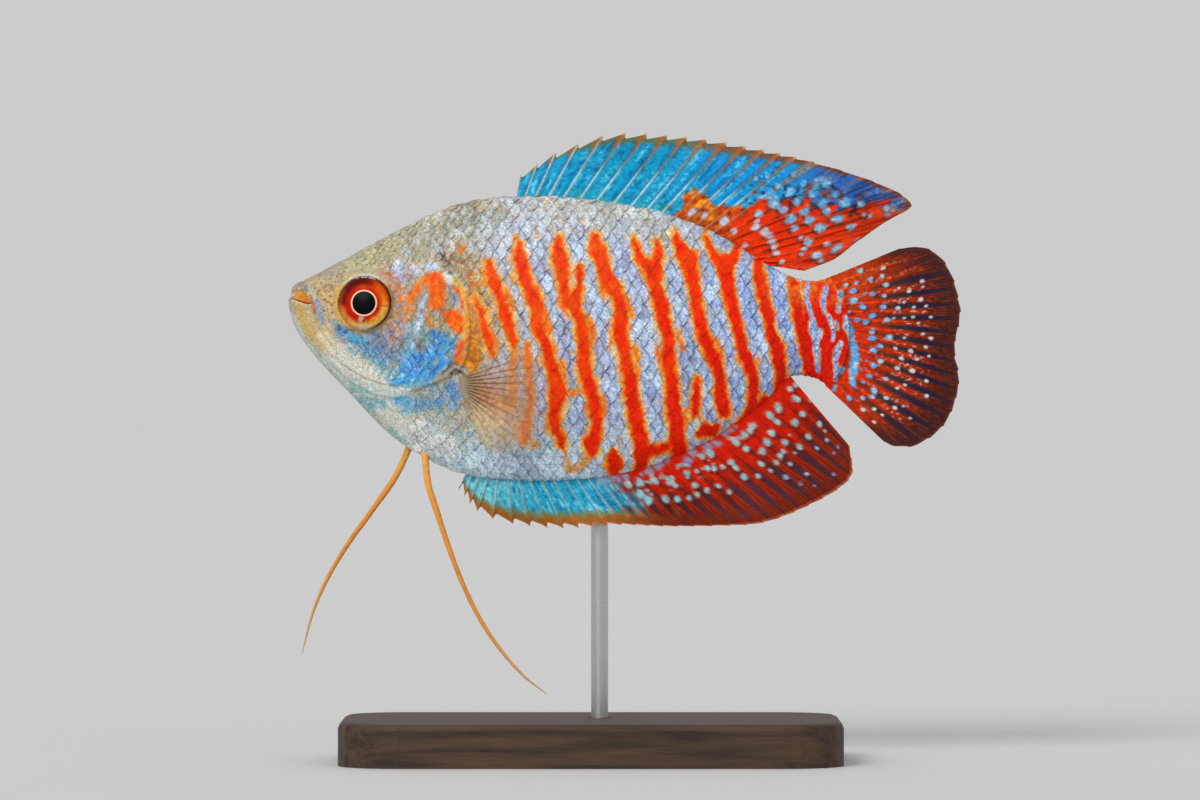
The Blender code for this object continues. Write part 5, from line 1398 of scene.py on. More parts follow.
def make_coats():
    """Scales of the trunk and of the head, on both sides."""
    places = scale_lattice()
    point, _ = on_surface(BODY, BODY_NORMALS, places[:, 0], places[:, 1], LEFT)
    u, v = point[:, 0], point[:, 2]
    cover, _ = cover_distance(u, v)
    on_head = inside(u, v, SCALED_HEAD) & (outline_distance(u, v, SCALED_HEAD, 1.0) > HEAD_INSET)
    on_cover = inside(u, v, COVER_AREA)
    nape = (v > NAPE_LEVEL) & (u < NAPE_END)
    head = on_head & np.where(on_cover, cover < -COVER_INSET, nape | (u < CHEEK_END))
    trunk = ~head & ~on_cover & (cover > -0.1) & (u > TRUNK_START)
    trunk &= (u > BREAST_END) | (v < BREAST_LEVEL)
    front = places[:, 0] < COAT_SPLIT
    skin, bed = (SKIN, SKIN_NORMALS), (BED, BODY_NORMALS)
    for word, side in (("left", LEFT), ("right", RIGHT)):
        make_coat(f"scales_head_{word}", places[head], side, skin, HEAD_PLATE, "head_skin",
                  101 + side)
        make_coat(f"scales_front_{word}", places[trunk & front], side, bed, TRUNK_PLATE,
                  "scaled_skin", 111 + side)
        make_coat(f"scales_rear_{word}", places[trunk & ~front], side, bed, TRUNK_PLATE,
                  "scaled_skin", 121 + side)


# Spots of the fins, in pixels: (x, y, radius)
DORSAL_SPOTS = (
    (778, 186, 4), (803, 184, 4), (790, 193, 5), (812, 194, 4.5), (770, 195, 5), (826, 184, 3.5),
    (835, 195, 3), (797, 202, 4), (822, 203, 5), (845, 203, 5), (775, 205, 6), (783, 210, 4.5),
    (805, 211, 5), (827, 211, 4), (759, 214, 4), (791, 219, 5.5), (810, 220, 5), (838, 219, 5.5),
    (705, 216, 4), (725, 221, 5.5), (757, 221, 3), (795, 228, 4), (820, 228, 5.5), (851, 227, 4),
    (756, 227, 4.5), (765, 231, 4), (769, 236, 4), (734, 231, 3.5), (801, 237, 2.5), (771, 242, 4),
    (774, 247, 3.5), (808, 242, 5), (804, 249, 3), (802, 254, 2.5), (827, 244, 3), (838, 247, 4),
    (834, 250, 3), (776, 253, 3), (817, 256, 5), (821, 261, 3), (782, 262, 3), (745, 245, 3),
    (692, 213, 4), (861, 204, 3.5), (857, 240, 2.2), (887, 208, 3), (870, 216, 2.4),
    (888, 215, 2.4), (864, 215, 2.4), (756, 178, 2.5), (767, 176, 2.5), (793, 175, 2.5),
)
TAIL_SPOTS = (
    (883, 268, 2.6), (860, 271, 3), (870, 279, 2.8), (846, 285, 2.8), (856, 283, 2.5),
    (886, 285, 2.8), (882, 276, 2.3), (872, 294, 2.9), (884, 296, 2.2), (899, 288, 1.6),
    (909, 291, 2.3), (922, 281, 2), (923, 287, 1.6), (921, 299, 2.6), (904, 302, 2), (853, 291, 3.2),
    (854, 300, 4.2), (863, 307, 3.2), (849, 312, 2), (872, 316, 3.3), (883, 307, 2.8), (898, 308, 2.5),
    (914, 307, 1.9), (926, 306, 1.7), (857, 320, 3.3), (866, 322, 3), (887, 320, 2.7), (894, 318, 1.5),
    (904, 318, 1.7), (913, 317, 2), (931, 317, 1.9), (918, 323, 1.8), (872, 332, 3.4),
    (872, 338, 3.4), (889, 337, 3.2), (923, 334, 2), (904, 338, 1.8), (873, 350, 3.8), (880, 346, 2.6),
    (895, 348, 2.1), (911, 351, 2.5), (929, 356, 1.7), (917, 359, 2), (901, 358, 2.5),
    (881, 361, 3.3), (874, 365, 3), (897, 368, 2.3), (912, 371, 2.7), (926, 381, 2.2), (869, 376, 3),
    (863, 382, 2), (886, 379, 2.7), (905, 385, 1.6), (874, 391, 3.4), (872, 397, 2.6), (897, 388, 1.9),
    (849, 398, 2.9), (863, 398, 2.6), (886, 398, 2.7), (926, 396, 2.2), (903, 406, 1.5),
    (863, 410, 2.4), (874, 409, 2.5), (895, 408, 2.3), (882, 415, 1.8), (874, 422, 2.1),
    (910, 418, 1.5), (931, 338, 2.2), (926, 347, 1.8),
)
ANAL_SPOTS = (
    (779, 408, 5.2), (770, 415, 4.4), (777, 422, 4.4), (772, 433, 4.6), (767, 442, 4.3),
    (762, 451, 4.8), (761, 464, 3.4), (758, 476, 3.3), (771, 471, 2.6), (776, 463, 3.4),
    (780, 456, 3.4), (783, 451, 2.8), (785, 442, 3.6), (790, 435, 1.8), (795, 422, 4.2),
    (803, 414, 3.8), (796, 399, 4.2), (811, 399, 3.8), (817, 405, 3), (790, 389, 3), (796, 385, 3.6),
    (815, 391, 2.8), (819, 424, 3.8), (825, 431, 2), (809, 437, 4), (800, 447, 3.8), (827, 440, 2.2),
    (817, 448, 2.4), (795, 453, 2.1), (790, 464, 2.8), (786, 477, 3.6), (834, 453, 1.8),
    (838, 447, 2.4), (807, 474, 2.5), (801, 484, 2.5), (834, 474, 2.2), (814, 486, 1.8),
    (752, 426, 4.8), (750, 431, 3.8), (744, 435, 4.8), (736, 443, 4.8), (746, 449, 4.2),
    (731, 462, 4.2), (736, 468, 3.8), (744, 477, 4.2), (729, 492, 3.8), (718, 486, 3.3),
    (707, 491, 3.7), (695, 485, 3.8), (697, 494, 3.8), (689, 498, 3.4), (677, 499, 3.9),
    (665, 499, 4.3), (710, 454, 4.5), (702, 457, 3.8), (687, 473, 4.2), (697, 471, 3),
    (708, 468, 3.8), (714, 469, 3.4), (723, 467, 3.2), (655, 481, 4.7), (669, 482, 4.7),
    (675, 485, 3.3), (640, 482, 4.8), (628, 484, 5), (641, 495, 5.5), (648, 500, 6),
)

# Lower edge of the blue part of the dorsal fin
DORSAL_BORDER = photo((
    (660, 216), (677, 212), (685, 199), (700, 197), (715, 201), (735, 205), (746, 206), (758, 197),
    (768, 201), (786, 206), (798, 203), (806, 198), (829, 201), (842, 206), (860, 206), (892, 203),
    (910, 206),
))

# Pale patches between the red at the root of the anal fin
ANAL_PATCHES = (
    ((643, 474, 5), (652, 469, 9), (662, 462, 9), (668, 454, 8)),
    ((688, 462, 8), (692, 452, 8)), ((706, 447, 8), (716, 444, 9)), ((724, 434, 7), (732, 428, 8)),
    ((600, 480, 9), (612, 478, 8)), ((620, 478, 8), (626, 476, 6)),
)


def ray_layout(ray_count, root, tip, grid, dip, branching):
    """Grid of one fin: ray position, share of its length, (u, v) and how much ray is there.

    dip gives how far the margin falls back between rays, in mm, and branching how far
    the branches of a ray spread, in shares of the space between two rays.
    """
    per_ray, rows = grid
    ray = np.linspace(0.0, ray_count - 1, (ray_count - 1) * per_ray + 1)[None, :]
    share = np.linspace(0.0, 1.0, rows)[:, None] ** 0.92
    start, end = np.stack(root(ray), -1), np.stack(tip(ray), -1)
    length = np.linalg.norm(end - start, axis=-1)
    part = ray - np.floor(ray)
    hollow = (1 - peak(part, 0.0, SPINE_WIDTH)) * (1 - part) ** 0.6 * 1.15
    reach = share * (1 - dip(ray) * hollow / length)
    sunk = start - (end - start) / length[..., None] * FIN_SINK
    place = sunk + (end - sunk) * reach[..., None]
    spacing = np.linalg.norm(np.gradient(place, axis=1), axis=-1) * per_ray
    spread = branching(ray) * ramp(0.3, 0.95, share)
    nearest = np.full((rows, ray.shape[1]), 9.0)
    for ray_number in (np.floor(ray), np.ceil(ray)):
        for offset in BRANCHES:
            fork = np.sign(offset) * FORK
            split = ramp(0.3, 0.5, share) * fork + ramp(0.6, 0.8, share) * (offset - fork)
            nearest = np.minimum(nearest, np.abs(ray - ray_number - split * spread))
    return ray, share, place, nearest * spacing


def fin_sheet(name, layout, place_y, build, paint, material, slot, replaced, opacity):
    """Thin closed fin with raised rays, from its layout and the build of its sheet and rays."""
    ray, share, place, ray_gap = layout
    rows, columns = ray_gap.shape
    u, v = place[..., 0], place[..., 1]
    middle = np.stack([u, place_y(u, v, share), v], -1)
    (sheet, root_extra, root_fade), (height, height_loss), (width, width_loss) = build
    amount = peak(ray_gap, 0.0, width - width_loss * share)
    thickness = sheet + root_extra * np.exp(-share / root_fade)
    thickness = thickness + (height - height_loss * share) * amount
    thickness = thickness * (MARGIN_THICKNESS + (1 - MARGIN_THICKNESS) * ramp(1.0, 0.94, share))
    offset = normals_of(middle, False) * thickness[..., None]
    points = np.concatenate([(middle + offset).reshape(-1, 3), (middle - offset).reshape(-1, 3)])
    count = rows * columns
    faces = grid_faces(rows, columns) + grid_faces(rows, columns, offset=count, flip=True)
    rim = rim_of(rows, columns)
    after = np.roll(rim, -1)
    faces += np.stack([rim, rim + count, after + count, after], -1).tolist()
    ray, share = ray + 0 * share, share + 0 * ray
    colour = grained(paint(u, v, ray, share, amount), u, v, FIN_GRAIN_SEED, FIN_GRAIN).reshape(-1, 3)
    clear = opacity(ray, share, amount).ravel()
    make_piece(name, points, faces, np.concatenate([colour] * 2), material, slot, (replaced,),
               np.concatenate([clear] * 2))


def middle_wave(u, v, share):
    """Slight sideways wave of a fin on the middle plane, growing to its margin."""
    turn = 2 * math.pi * (u + WAVE_LEAN * v - WAVE_START) / WAVE_LENGTH
    return WAVE_HEIGHT * share ** 2 * np.sin(turn)


def tip_curves(tips):
    """Smooth u and v of the tips as functions of the ray number."""
    along = smooth_curve([(number, u) for number, u, _ in tips])
    up = smooth_curve([(number, v) for number, _, v in tips])
    return lambda number: (along(number), up(number))


def spots(u, v, table, slant, scale=0.88):
    """How much a table of spots covers each point; spots are longer along the slant."""
    amount = np.zeros(u.shape)
    wobble = 1 + 0.3 * noise(87, u / 0.4, v / 0.4)
    for (middle_u, middle_v), (_, _, radius) in zip(photo(table), table):
        size = scale * radius * PHOTO_MM
        near = (np.abs(u - middle_u) < 2.4 * size) & (np.abs(v - middle_v) < 2.4 * size)
        angle = slant(middle_u, middle_v)
        du, dv = u[near] - middle_u, v[near] - middle_v
        along = du * math.cos(angle) + dv * math.sin(angle)
        across = dv * math.cos(angle) - du * math.sin(angle)
        gap = np.hypot(along * SPOT_LENGTHENING, across * SPOT_NARROWING) * wobble[near]
        cover = ramp(size * (1 + SPOT_SOFTNESS), size * (1 - SPOT_SOFTNESS), gap)
        amount[near] = np.maximum(amount[near], cover)
    return amount


dorsal_root = smooth_curve(DORSAL_ROOTS)
anal_root = smooth_curve(ANAL_ROOTS)


def on_back(ray):
    """Root of a dorsal ray."""
    u = dorsal_root(ray)
    return u, back(u) + ROOT_GAP


def on_belly(ray):
    """Root of an anal ray."""
    u = anal_root(ray)
    return u, belly(u) - ROOT_GAP


def on_stem(ray):
    """Root of a tail ray."""
    v = np.interp(ray, (0, TAIL_RAYS - 1), TAIL_ROOT_SPAN)
    return tail_base(v) + ROOT_GAP, v


def on_flank(ray):
    """Root of a pectoral ray."""
    v = np.interp(ray, (0, PECTORAL_RAYS - 1), PECTORAL_ROOT_SPAN)
    return PECTORAL_ROOT_U + 0 * v, v


def dorsal_slant(u, v):
    """Direction of the dorsal rays at a point of the rear part."""
    return np.interp(v - 0.25 * (u - 57.0), (5.0, 14.0), (math.radians(12), math.radians(44)))


def anal_slant(u, v):
    """Direction of the anal rays at a point of the rear part."""
    return math.radians(-46)


def tail_slant(u, v):
    """Direction of the tail rays at a point."""
    return np.interp(v, (-16.0, -3.1, 6.0), (math.radians(-36), 0.0, math.radians(24)))


def dorsal_ground(u, v, ray, share, part):
    """Cyan of the front and blue of the rear, with paler and darker streaks."""
    streak = noise(71, ray * 7.0, share * 9.0) + 0.7 * noise(72, u / 0.3, v / 0.3)
    glint = noise(61, ray * 4.0, share * 2.6) + 0.6 * noise(59, u / 0.22, v / 0.22)
    return layered(
        mix((20, 160, 206), (26, 154, 226), ramp(40.0, 54.0, u)),
        ((44, 104, 194), ramp(57.0, 64.0, u)),
        ((66, 84, 156), ramp(65.0, 71.0, u)),
        ((110, 220, 250), 0.75 * ramp(0.2, 0.9, glint)),
        ((4, 92, 150), 0.6 * ramp(-0.2, -1.0, streak)),
        ((8, 84, 134), 0.45 * ramp(0.55, 0.95, part) * ramp(15.0, 13.0, ray)),
        ((70, 168, 150),
         0.4 * ramp(0.25, 0.05, share) * ramp(-0.6, 0.8, noise(74, u / 1.2, v / 1.2))))


def dorsal_red(u, v, ray, share, edge, mottle):
    """Rust and orange at the front of the red part, red behind."""
    front = mix((168, 70, 14), (244, 140, 30), 0.5 + 1.1 * noise(102, u / 0.5, v / 0.5))
    fan = ramp(15.0, 18.0, ray) * ramp(0.3, 0.6, share)
    return layered(
        mix(front, (240, 50, 0), ramp(50.0, 55.5, u - 0.6 * edge + 2.6 * mottle)),
        ((150, 52, 16), 0.6 * ramp(0.16, 0.02, share) * ramp(54.0, 50.0, u)),
        ((196, 34, 4), 0.6 * ramp(0.1, 0.9, noise(60, ray * 5.0, share * 7.0))),
        ((210, 62, 16), 0.5 * fan * (0.5 + 0.5 * noise(68, ray * 3.0, share * 4.0))))


def dorsal_rays(colour, ray, share, soft, red_zone):
    """Colour of the spines and the soft rays on a membrane of the given colour."""
    dark = mix(colour * 0.5, (84, 26, 14), 0.4)
    light = mix(colour, (236, 130, 70), 0.45)
    return layered(
        mix((196, 234, 236), (132, 120, 84), ramp(0.35, 0.6, share)),
        ((178, 100, 44), ramp(0.62, 0.82, share)),
        ((214, 214, 204), 0.9 * ramp(5.5, 2.5, ray)),
        ((232, 190, 160), ramp(0.955, 0.99, share)),
        (mix(dark, light, ramp(-0.2, 0.3, noise(65, ray * 4.0, share * 6.0))), soft),
        ((206, 96, 40), red_zone * (1 - soft) * 0.8))


def dorsal_paint(u, v, ray, share, amount):
    """Cyan in front, blue behind, red with pale blue spots at the lower rear."""
    part = ray - np.floor(ray)
    soft = ramp(14.0, 16.0, ray)
    mottle = noise(69, u / 0.6, v / 0.6)
    edge = (v - np.interp(u, *np.array(DORSAL_BORDER).T) + 0.5 * noise(73, u / 0.9, v / 0.9)
            + noise(70, ray * 3.2, share * 2.4)
            + 0.9 * noise(101, u / 0.45, v / 0.4) * ramp(53.0, 49.0, u))
    red_zone = ramp(0.35, -0.35, edge) * ramp(43.2, 44.4, u)
    streaks = ramp(0.0, 0.8, noise(56, ray * 9.0, share * 5.0)) * ramp(55.0, 60.0, u)
    night = (ramp(3.0, 0.8, np.abs(edge - 0.6)) * ramp(51.0, 54.0, u)
             * ramp(0.15, 0.4, noise(67, u / 0.5, v / 0.42)) * ramp(69.0, 65.0, u))
    embers = (ramp(0.25, 0.5, noise(55, u / 0.55, v / 0.5)) * ramp(2.4, 0.4, edge)
              * ramp(52.0, 55.0, u) * ramp(-0.2, 0.2, edge) * ramp(69.0, 65.0, u))
    sparks = noise(58, u / 0.55, v / 0.5) * ramp(52.0, 56.0, u) * ramp(71.0, 66.0, u)
    sparks = ramp(0.42, 0.6, sparks) * ramp(3.5, 1.0, edge) * ramp(-0.6, 0.2, edge)
    spot = np.maximum(spots(u, v, DORSAL_SPOTS, dorsal_slant), 0.9 * sparks)
    # Painted shadow: a dark copy of the spots, shifted a little to one side
    spot_shadow = spots(u + 0.3, v + 0.25, DORSAL_SPOTS, dorsal_slant)
    pale = layered(
        mix((186, 200, 222), (92, 184, 240), ramp(50.0, 58.0, u + edge)),
        ((206, 226, 238), 0.75 * ramp(0.0, 0.6, noise(66, u / 0.3, v / 0.3))))
    width = np.interp(u, (28.0, 34.0, 50.0, 56.0, 62.0), (0.05, 0.07, 0.08, 0.05, 0.025))
    margin = ramp(1 - 1.7 * width, 1 - 0.7 * width, share + 0.02 * mottle)
    # Orange flags on the front side of the spines near their tips
    flag = ramp(1 - 0.5 * ramp(0.62, 1.0, share), 1.0, part) * ramp(0.62, 0.76, share) * (1 - soft)
    colour = layered(
        dorsal_ground(u, v, ray, share, part),
        (dorsal_red(u, v, ray, share, edge, mottle), red_zone),
        ((112, 140, 220), 0.5 * streaks * ramp(0.3, 1.2, edge)),
        ((22, 34, 58), 0.75 * night),
        ((206, 66, 24), 0.8 * embers),
        ((20, 34, 52), 0.5 * spot_shadow * (1 - spot) * ramp(53.0, 57.0, u)),
        (pale, 0.92 * spot),
        (mix((104, 118, 84), (146, 74, 38), ramp(42.0, 54.0, u)), 0.85 * margin),
        ((196, 104, 26), 0.9 * flag))
    rays = dorsal_rays(colour, ray, share, soft, red_zone)
    return mix(colour, rays, amount * (0.95 - 0.2 * soft) * (1 - 0.75 * spot))


def anal_ground(u, v, share, streak, rear):
    """Turquoise of the front, with streaks, and red of the rear with pale patches at its root."""
    colour = layered(
        mix((108, 198, 214), (40, 168, 208), ramp(22.0, 30.0, u)),
        ((40, 138, 180), ramp(33.0, 39.0, u)),
        ((168, 236, 244), 0.65 * ramp(0.2, 1.1, streak)),
        ((10, 92, 126), 0.55 * ramp(-0.2, -1.1, streak)),
        ((60, 128, 150), 0.5 * ramp(0.16, 0.02, share)),
        ((120, 136, 92), ramp(0.66, 0.84, share)),
        (mix((212, 26, 0), (100, 26, 8), ramp(0.2, 0.75, share + 0.1 * streak)), rear))
    wobble = 0.2 * noise(64, u / 0.4, v / 0.4)
    for points in ANAL_PATCHES:
        colour = mix(colour, (136, 164, 208), 0.85 * stroke_amount(u, v, wobble, 0.6, points))
    return colour


def anal_paint(u, v, ray, share, amount):
    """Turquoise in front, red with rows of pale blue spots behind."""
    streak = noise(75, ray * 6.0, share * 7.0) + 0.7 * noise(76, u / 0.3, v / 0.3)
    depth = belly(u) - v
    rear = ramp(37.0, 42.5, u - 0.9 * (depth - 3.0) + 2.6 * layered_noise(79, 1.4, u, v))
    gap = np.abs(ray - np.round(ray))
    seam = ramp(0.3, 0.5, gap) * ramp(0.08, 0.3, share)
    dusk = (ramp(0.16, 0.4, gap) * ramp(0.4, 0.62, share) * ramp(0.98, 0.85, share)
            * ramp(-0.7, 0.2, noise(78, ray * 1.3, share * 3.0)))
    squiggles = noise(54, u / 0.6, v / 0.5) * ramp(39.0, 42.0, u) * ramp(56.0, 50.0, u)
    squiggles = ramp(0.35, 0.55, squiggles) * ramp(4.2, 3.0, depth) * ramp(0.4, 1.0, depth)
    spot = np.maximum(spots(u, v, ANAL_SPOTS, anal_slant, 0.78), 0.85 * squiggles)
    # Painted shadow: a dark copy of the spots, shifted a little to one side
    spot_shadow = spots(u - 0.3, v + 0.3, ANAL_SPOTS, anal_slant)
    pale = layered(
        mix((140, 206, 218), (136, 136, 208), ramp(0.62, 0.8, share)),
        ((200, 224, 216), 0.7 * ramp(0.0, 0.6, noise(63, u / 0.3, v / 0.3))))
    rays = layered(
        mix((168, 196, 192), (206, 108, 44), ramp(0.55, 0.8, share)),
        (mix((214, 44, 8), (150, 42, 14), ramp(0.4, 0.9, share)), rear))
    colour = layered(
        anal_ground(u, v, share, streak, rear),
        ((74, 24, 14), 0.55 * seam * rear),
        ((62, 48, 82), 0.66 * dusk * rear),
        ((56, 24, 26), 0.5 * spot_shadow * (1 - spot)),
        (pale, 0.92 * spot),
        (rays, amount * 0.8 * (1 - 0.85 * spot)))
    orange = layered(
        mix((172, 98, 28), (126, 40, 14), ramp(34.0, 46.0, u)), (colour, ramp(46.0, 54.0, u)))
    return layered(
        colour,
        (orange, 0.9 * ramp(0.78, 0.9, share + 0.06 * noise(80, ray * 2, share))),
        ((222, 140, 96), 0.6 * ramp(0.972, 0.992, share)))


def tail_paint(u, v, ray, share, amount):
    """Red and orange rays, dusky between them, with arcs of pale blue spots."""
    streak = noise(77, ray * 5.0, share * 9.0)
    upper = ramp(4.5, 0.5, ray)
    gap = np.abs(ray - np.round(ray))
    dusk = (ramp(0.18, 0.42, gap) * ramp(0.22, 0.5, share) * ramp(1.0, 0.88, share)
            * ramp(1.0, 3.0, ray) * ramp(TAIL_RAYS - 1.5, TAIL_RAYS - 3.0, ray))
    spark = (ramp(0.52, 0.68, noise(64, u / 0.3, v / 0.24)) * ramp(0.12, 0.2, share)
             * ramp(0.3, 0.0, gap - 0.1) * ramp(0.74, 0.66, share + 0.06 * streak))
    spot = np.maximum(spots(u, v, TAIL_SPOTS, tail_slant), 0.7 * spark)
    for points in STEM_STRIPES:
        spot = np.maximum(spot, stroke_amount(u, v, 0.12 * streak, 0.5, points))
    # Painted shadow: a dark copy of the spots, shifted a little to one side
    spot_shadow = spots(u - 0.3, v + 0.1, TAIL_SPOTS, tail_slant)
    rays = layered(
        mix((226, 62, 12), (112, 42, 26), ramp(0.3, 0.95, share)),
        ((236, 122, 36), 0.55 * upper * ramp(0.9, 0.5, share)))
    rays = rays * (1 + 0.5 * noise(99, ray * 9.0, share * 38.0))[..., None]
    pale = layered(
        mix((88, 184, 255), (220, 222, 228), ramp(0.26, 0.56, share)),
        ((236, 228, 204), 0.7 * ramp(0.1, 0.7, noise(62, u / 0.34, v / 0.34))))
    brown, dark = noise(63, u / 0.4, v / 0.3), noise(57, ray * 4.0, share * 12.0)
    return layered(
        mix((236, 48, 2), (184, 42, 6), ramp(0.08, 0.36, share)),
        ((110, 66, 40), 0.5 * ramp(0.1, 0.6, brown) * ramp(0.3, 0.12, share)),
        ((70, 34, 34), 0.5 * ramp(0.2, 0.8, dark) * ramp(0.6, 0.3, share)),
        ((204, 74, 12), 0.6 * upper * ramp(0.7, 0.3, share)),
        ((84, 30, 16), ramp(0.4, 0.85, share + 0.1 * streak)),
        (mix((34, 46, 54), (34, 28, 62), ramp(0.5, 0.72, share)), 0.92 * dusk),
        ((58, 24, 24), 0.65 * ramp(0.76, 0.92, share)),
        ((38, 26, 36), 0.55 * spot_shadow * (1 - spot)),
        (rays, amount * 0.85 * (1 - 0.6 * spot)),
        (pale, 0.95 * spot),
        ((126, 72, 56), 0.5 * ramp(0.975, 0.995, share)))


def pectoral_paint(u, v, ray, share, amount):
    """Peach veil, cream at its lower side, with dark ray lines near the root."""
    veil = layered(
        mix((228, 154, 92), (216, 168, 132), ramp(0.1, 0.9, share)),
        ((216, 200, 160), 0.7 * ramp(6.5, 11.0, ray)))
    veil = veil * (1 + 0.16 * noise(94, u / 0.3, v / 0.3)[..., None])
    veil = mix((214, 196, 166), veil, ramp(0.04, 0.3, share))
    fade = ramp(6.5, 2.5, ray)
    line = mix((72, 50, 36), veil * 0.8, ramp(0.12 + 0.24 * fade, 0.6 + 0.35 * fade, share))
    lower = ramp(8.0, 12.0, ray)
    return mix(veil, line, amount * (0.3 + 0.62 * ramp(0.03, 0.16, share)) * (1 - 0.5 * lower))


def dense(ray, share, amount):
    """Opacity of the middle fins, a little clearer between the rays near the margin."""
    return 1.0 - 0.1 * ramp(0.5, 1.0, share) * (1 - amount)


def veiled(ray, share, amount):
    """Opacity of the clear pectoral fins."""
    cloud = np.interp(ray, (0.0, 4.0, 9.0, 12.0, 14.0), (0.1, 0.26, 0.5, 0.5, 0.04))
    lines = (0.42 - 0.34 * share) * amount * ramp(14.5, 11.0, ray)
    return 0.02 + cloud * ramp(1.0, 0.45, share) + lines


def spread_out(side):
    """Function for the pectoral fin's distance from the middle plane on one side."""

    def place_y(u, v, share):
        root_v = np.clip(v, PECTORAL_ROOT_SPAN[1], PECTORAL_ROOT_SPAN[0])
        reach = np.hypot(u - PECTORAL_ROOT_U, v - root_v)
        reach = np.where(u < PECTORAL_ROOT_U, -reach, reach)
        base = flank(PECTORAL_ROOT_U + 0 * root_v, root_v)
        return side * (base + PECTORAL_GAP + PECTORAL_SLOPE * reach)

    return place_y


def make_fins():
    """Dorsal, anal, tail and pectoral fins."""

    def spiny(ray):
        return np.interp(ray, (0.0, 1.0, 5.0, 9.0, 13.0, 16.0), (0.3, 0.85, 0.85, 0.65, 0.5, 0.12))

    dorsal = ray_layout(DORSAL_RAYS, on_back, tip_curves(DORSAL_TIPS), DORSAL_GRID, spiny,
                        lambda ray: ramp(14.0, 16.0, ray))
    anal = ray_layout(ANAL_RAYS, on_belly, tip_curves(ANAL_TIPS), ANAL_GRID,
                      lambda ray: 0.6 - 0.48 * ramp(8.0, 14.0, ray),
                      lambda ray: ramp(12.0, 15.0, ray))
    tail = ray_layout(TAIL_RAYS, on_stem, tip_curves(TAIL_TIPS), TAIL_GRID,
                      lambda ray: 0.14, lambda ray: 1.0)
    pectoral = ray_layout(PECTORAL_RAYS, on_flank, tip_curves(PECTORAL_TIPS), PECTORAL_GRID,
                          lambda ray: 0.16, lambda ray: 0.8)
    for name, layout, build, paint, slot in (
            ("dorsal_fin", dorsal, STOUT_FIN, dorsal_paint, "dorsal_membrane"),
            ("anal_fin", anal, STOUT_FIN, anal_paint, "red_membrane"),
            ("tail_fin", tail, FINE_FIN, tail_paint, "red_membrane")):
        fin_sheet(f"{name}_skin", layout, middle_wave, build, paint, "fin", slot, name, dense)
    for name, side in (("pectoral_fin_left", LEFT), ("pectoral_fin_right", RIGHT)):
        fin_sheet(f"{name}_skin", pectoral, spread_out(side), THIN_FIN, pectoral_paint, "veil",
                  "clear_membrane", name, veiled)


def make_feeler(name, route, side):
    """Long thread of a pelvic fin, tapering to its tip."""
    rings, sides = FEELER_GRID
    knots = range(len(route))
    places = np.linspace(0, len(route) - 1, rings)
    path_u, path_v, path_y = (smooth_curve(list(zip(knots, values)))(places)
                              for values in zip(*route))
    centre = np.stack([path_u, side * path_y, path_v], -1)
    direction = unit(np.gradient(centre, axis=0))
    first = unit(np.cross(direction, (0.0, 1.0, 0.0)))
    second = np.cross(direction, first)
    share = np.linspace(0.0, 1.0, rings)
    radius = smooth_curve(FEELER_RADIUS)(share) * (1 + 0.05 * noise(95, share * 60, 0 * share))
    angle = np.linspace(0.0, 2 * math.pi, sides, endpoint=False)
    ring = np.cos(angle)[:, None] * first[:, None] + np.sin(angle)[:, None] * second[:, None]
    points = centre[:, None] + ring * radius[:, None, None]
    colour = layered(
        mix((240, 172, 84), (226, 146, 54), ramp(0.0, 0.3, share)),
        ((214, 178, 128), ramp(0.55, 1.0, share)))
    band = noise(96, share[:, None] * 90 + 0 * angle, 0 * share[:, None] + angle)
    colour = mix(np.repeat(colour[:, None], sides, 1), "brown", 0.25 * ramp(0.1, 0.9, band))
    make_piece(f"{name}_skin", points, tube_faces(rings, sides), colour, "feeler_skin", "feeler",
               (name,))


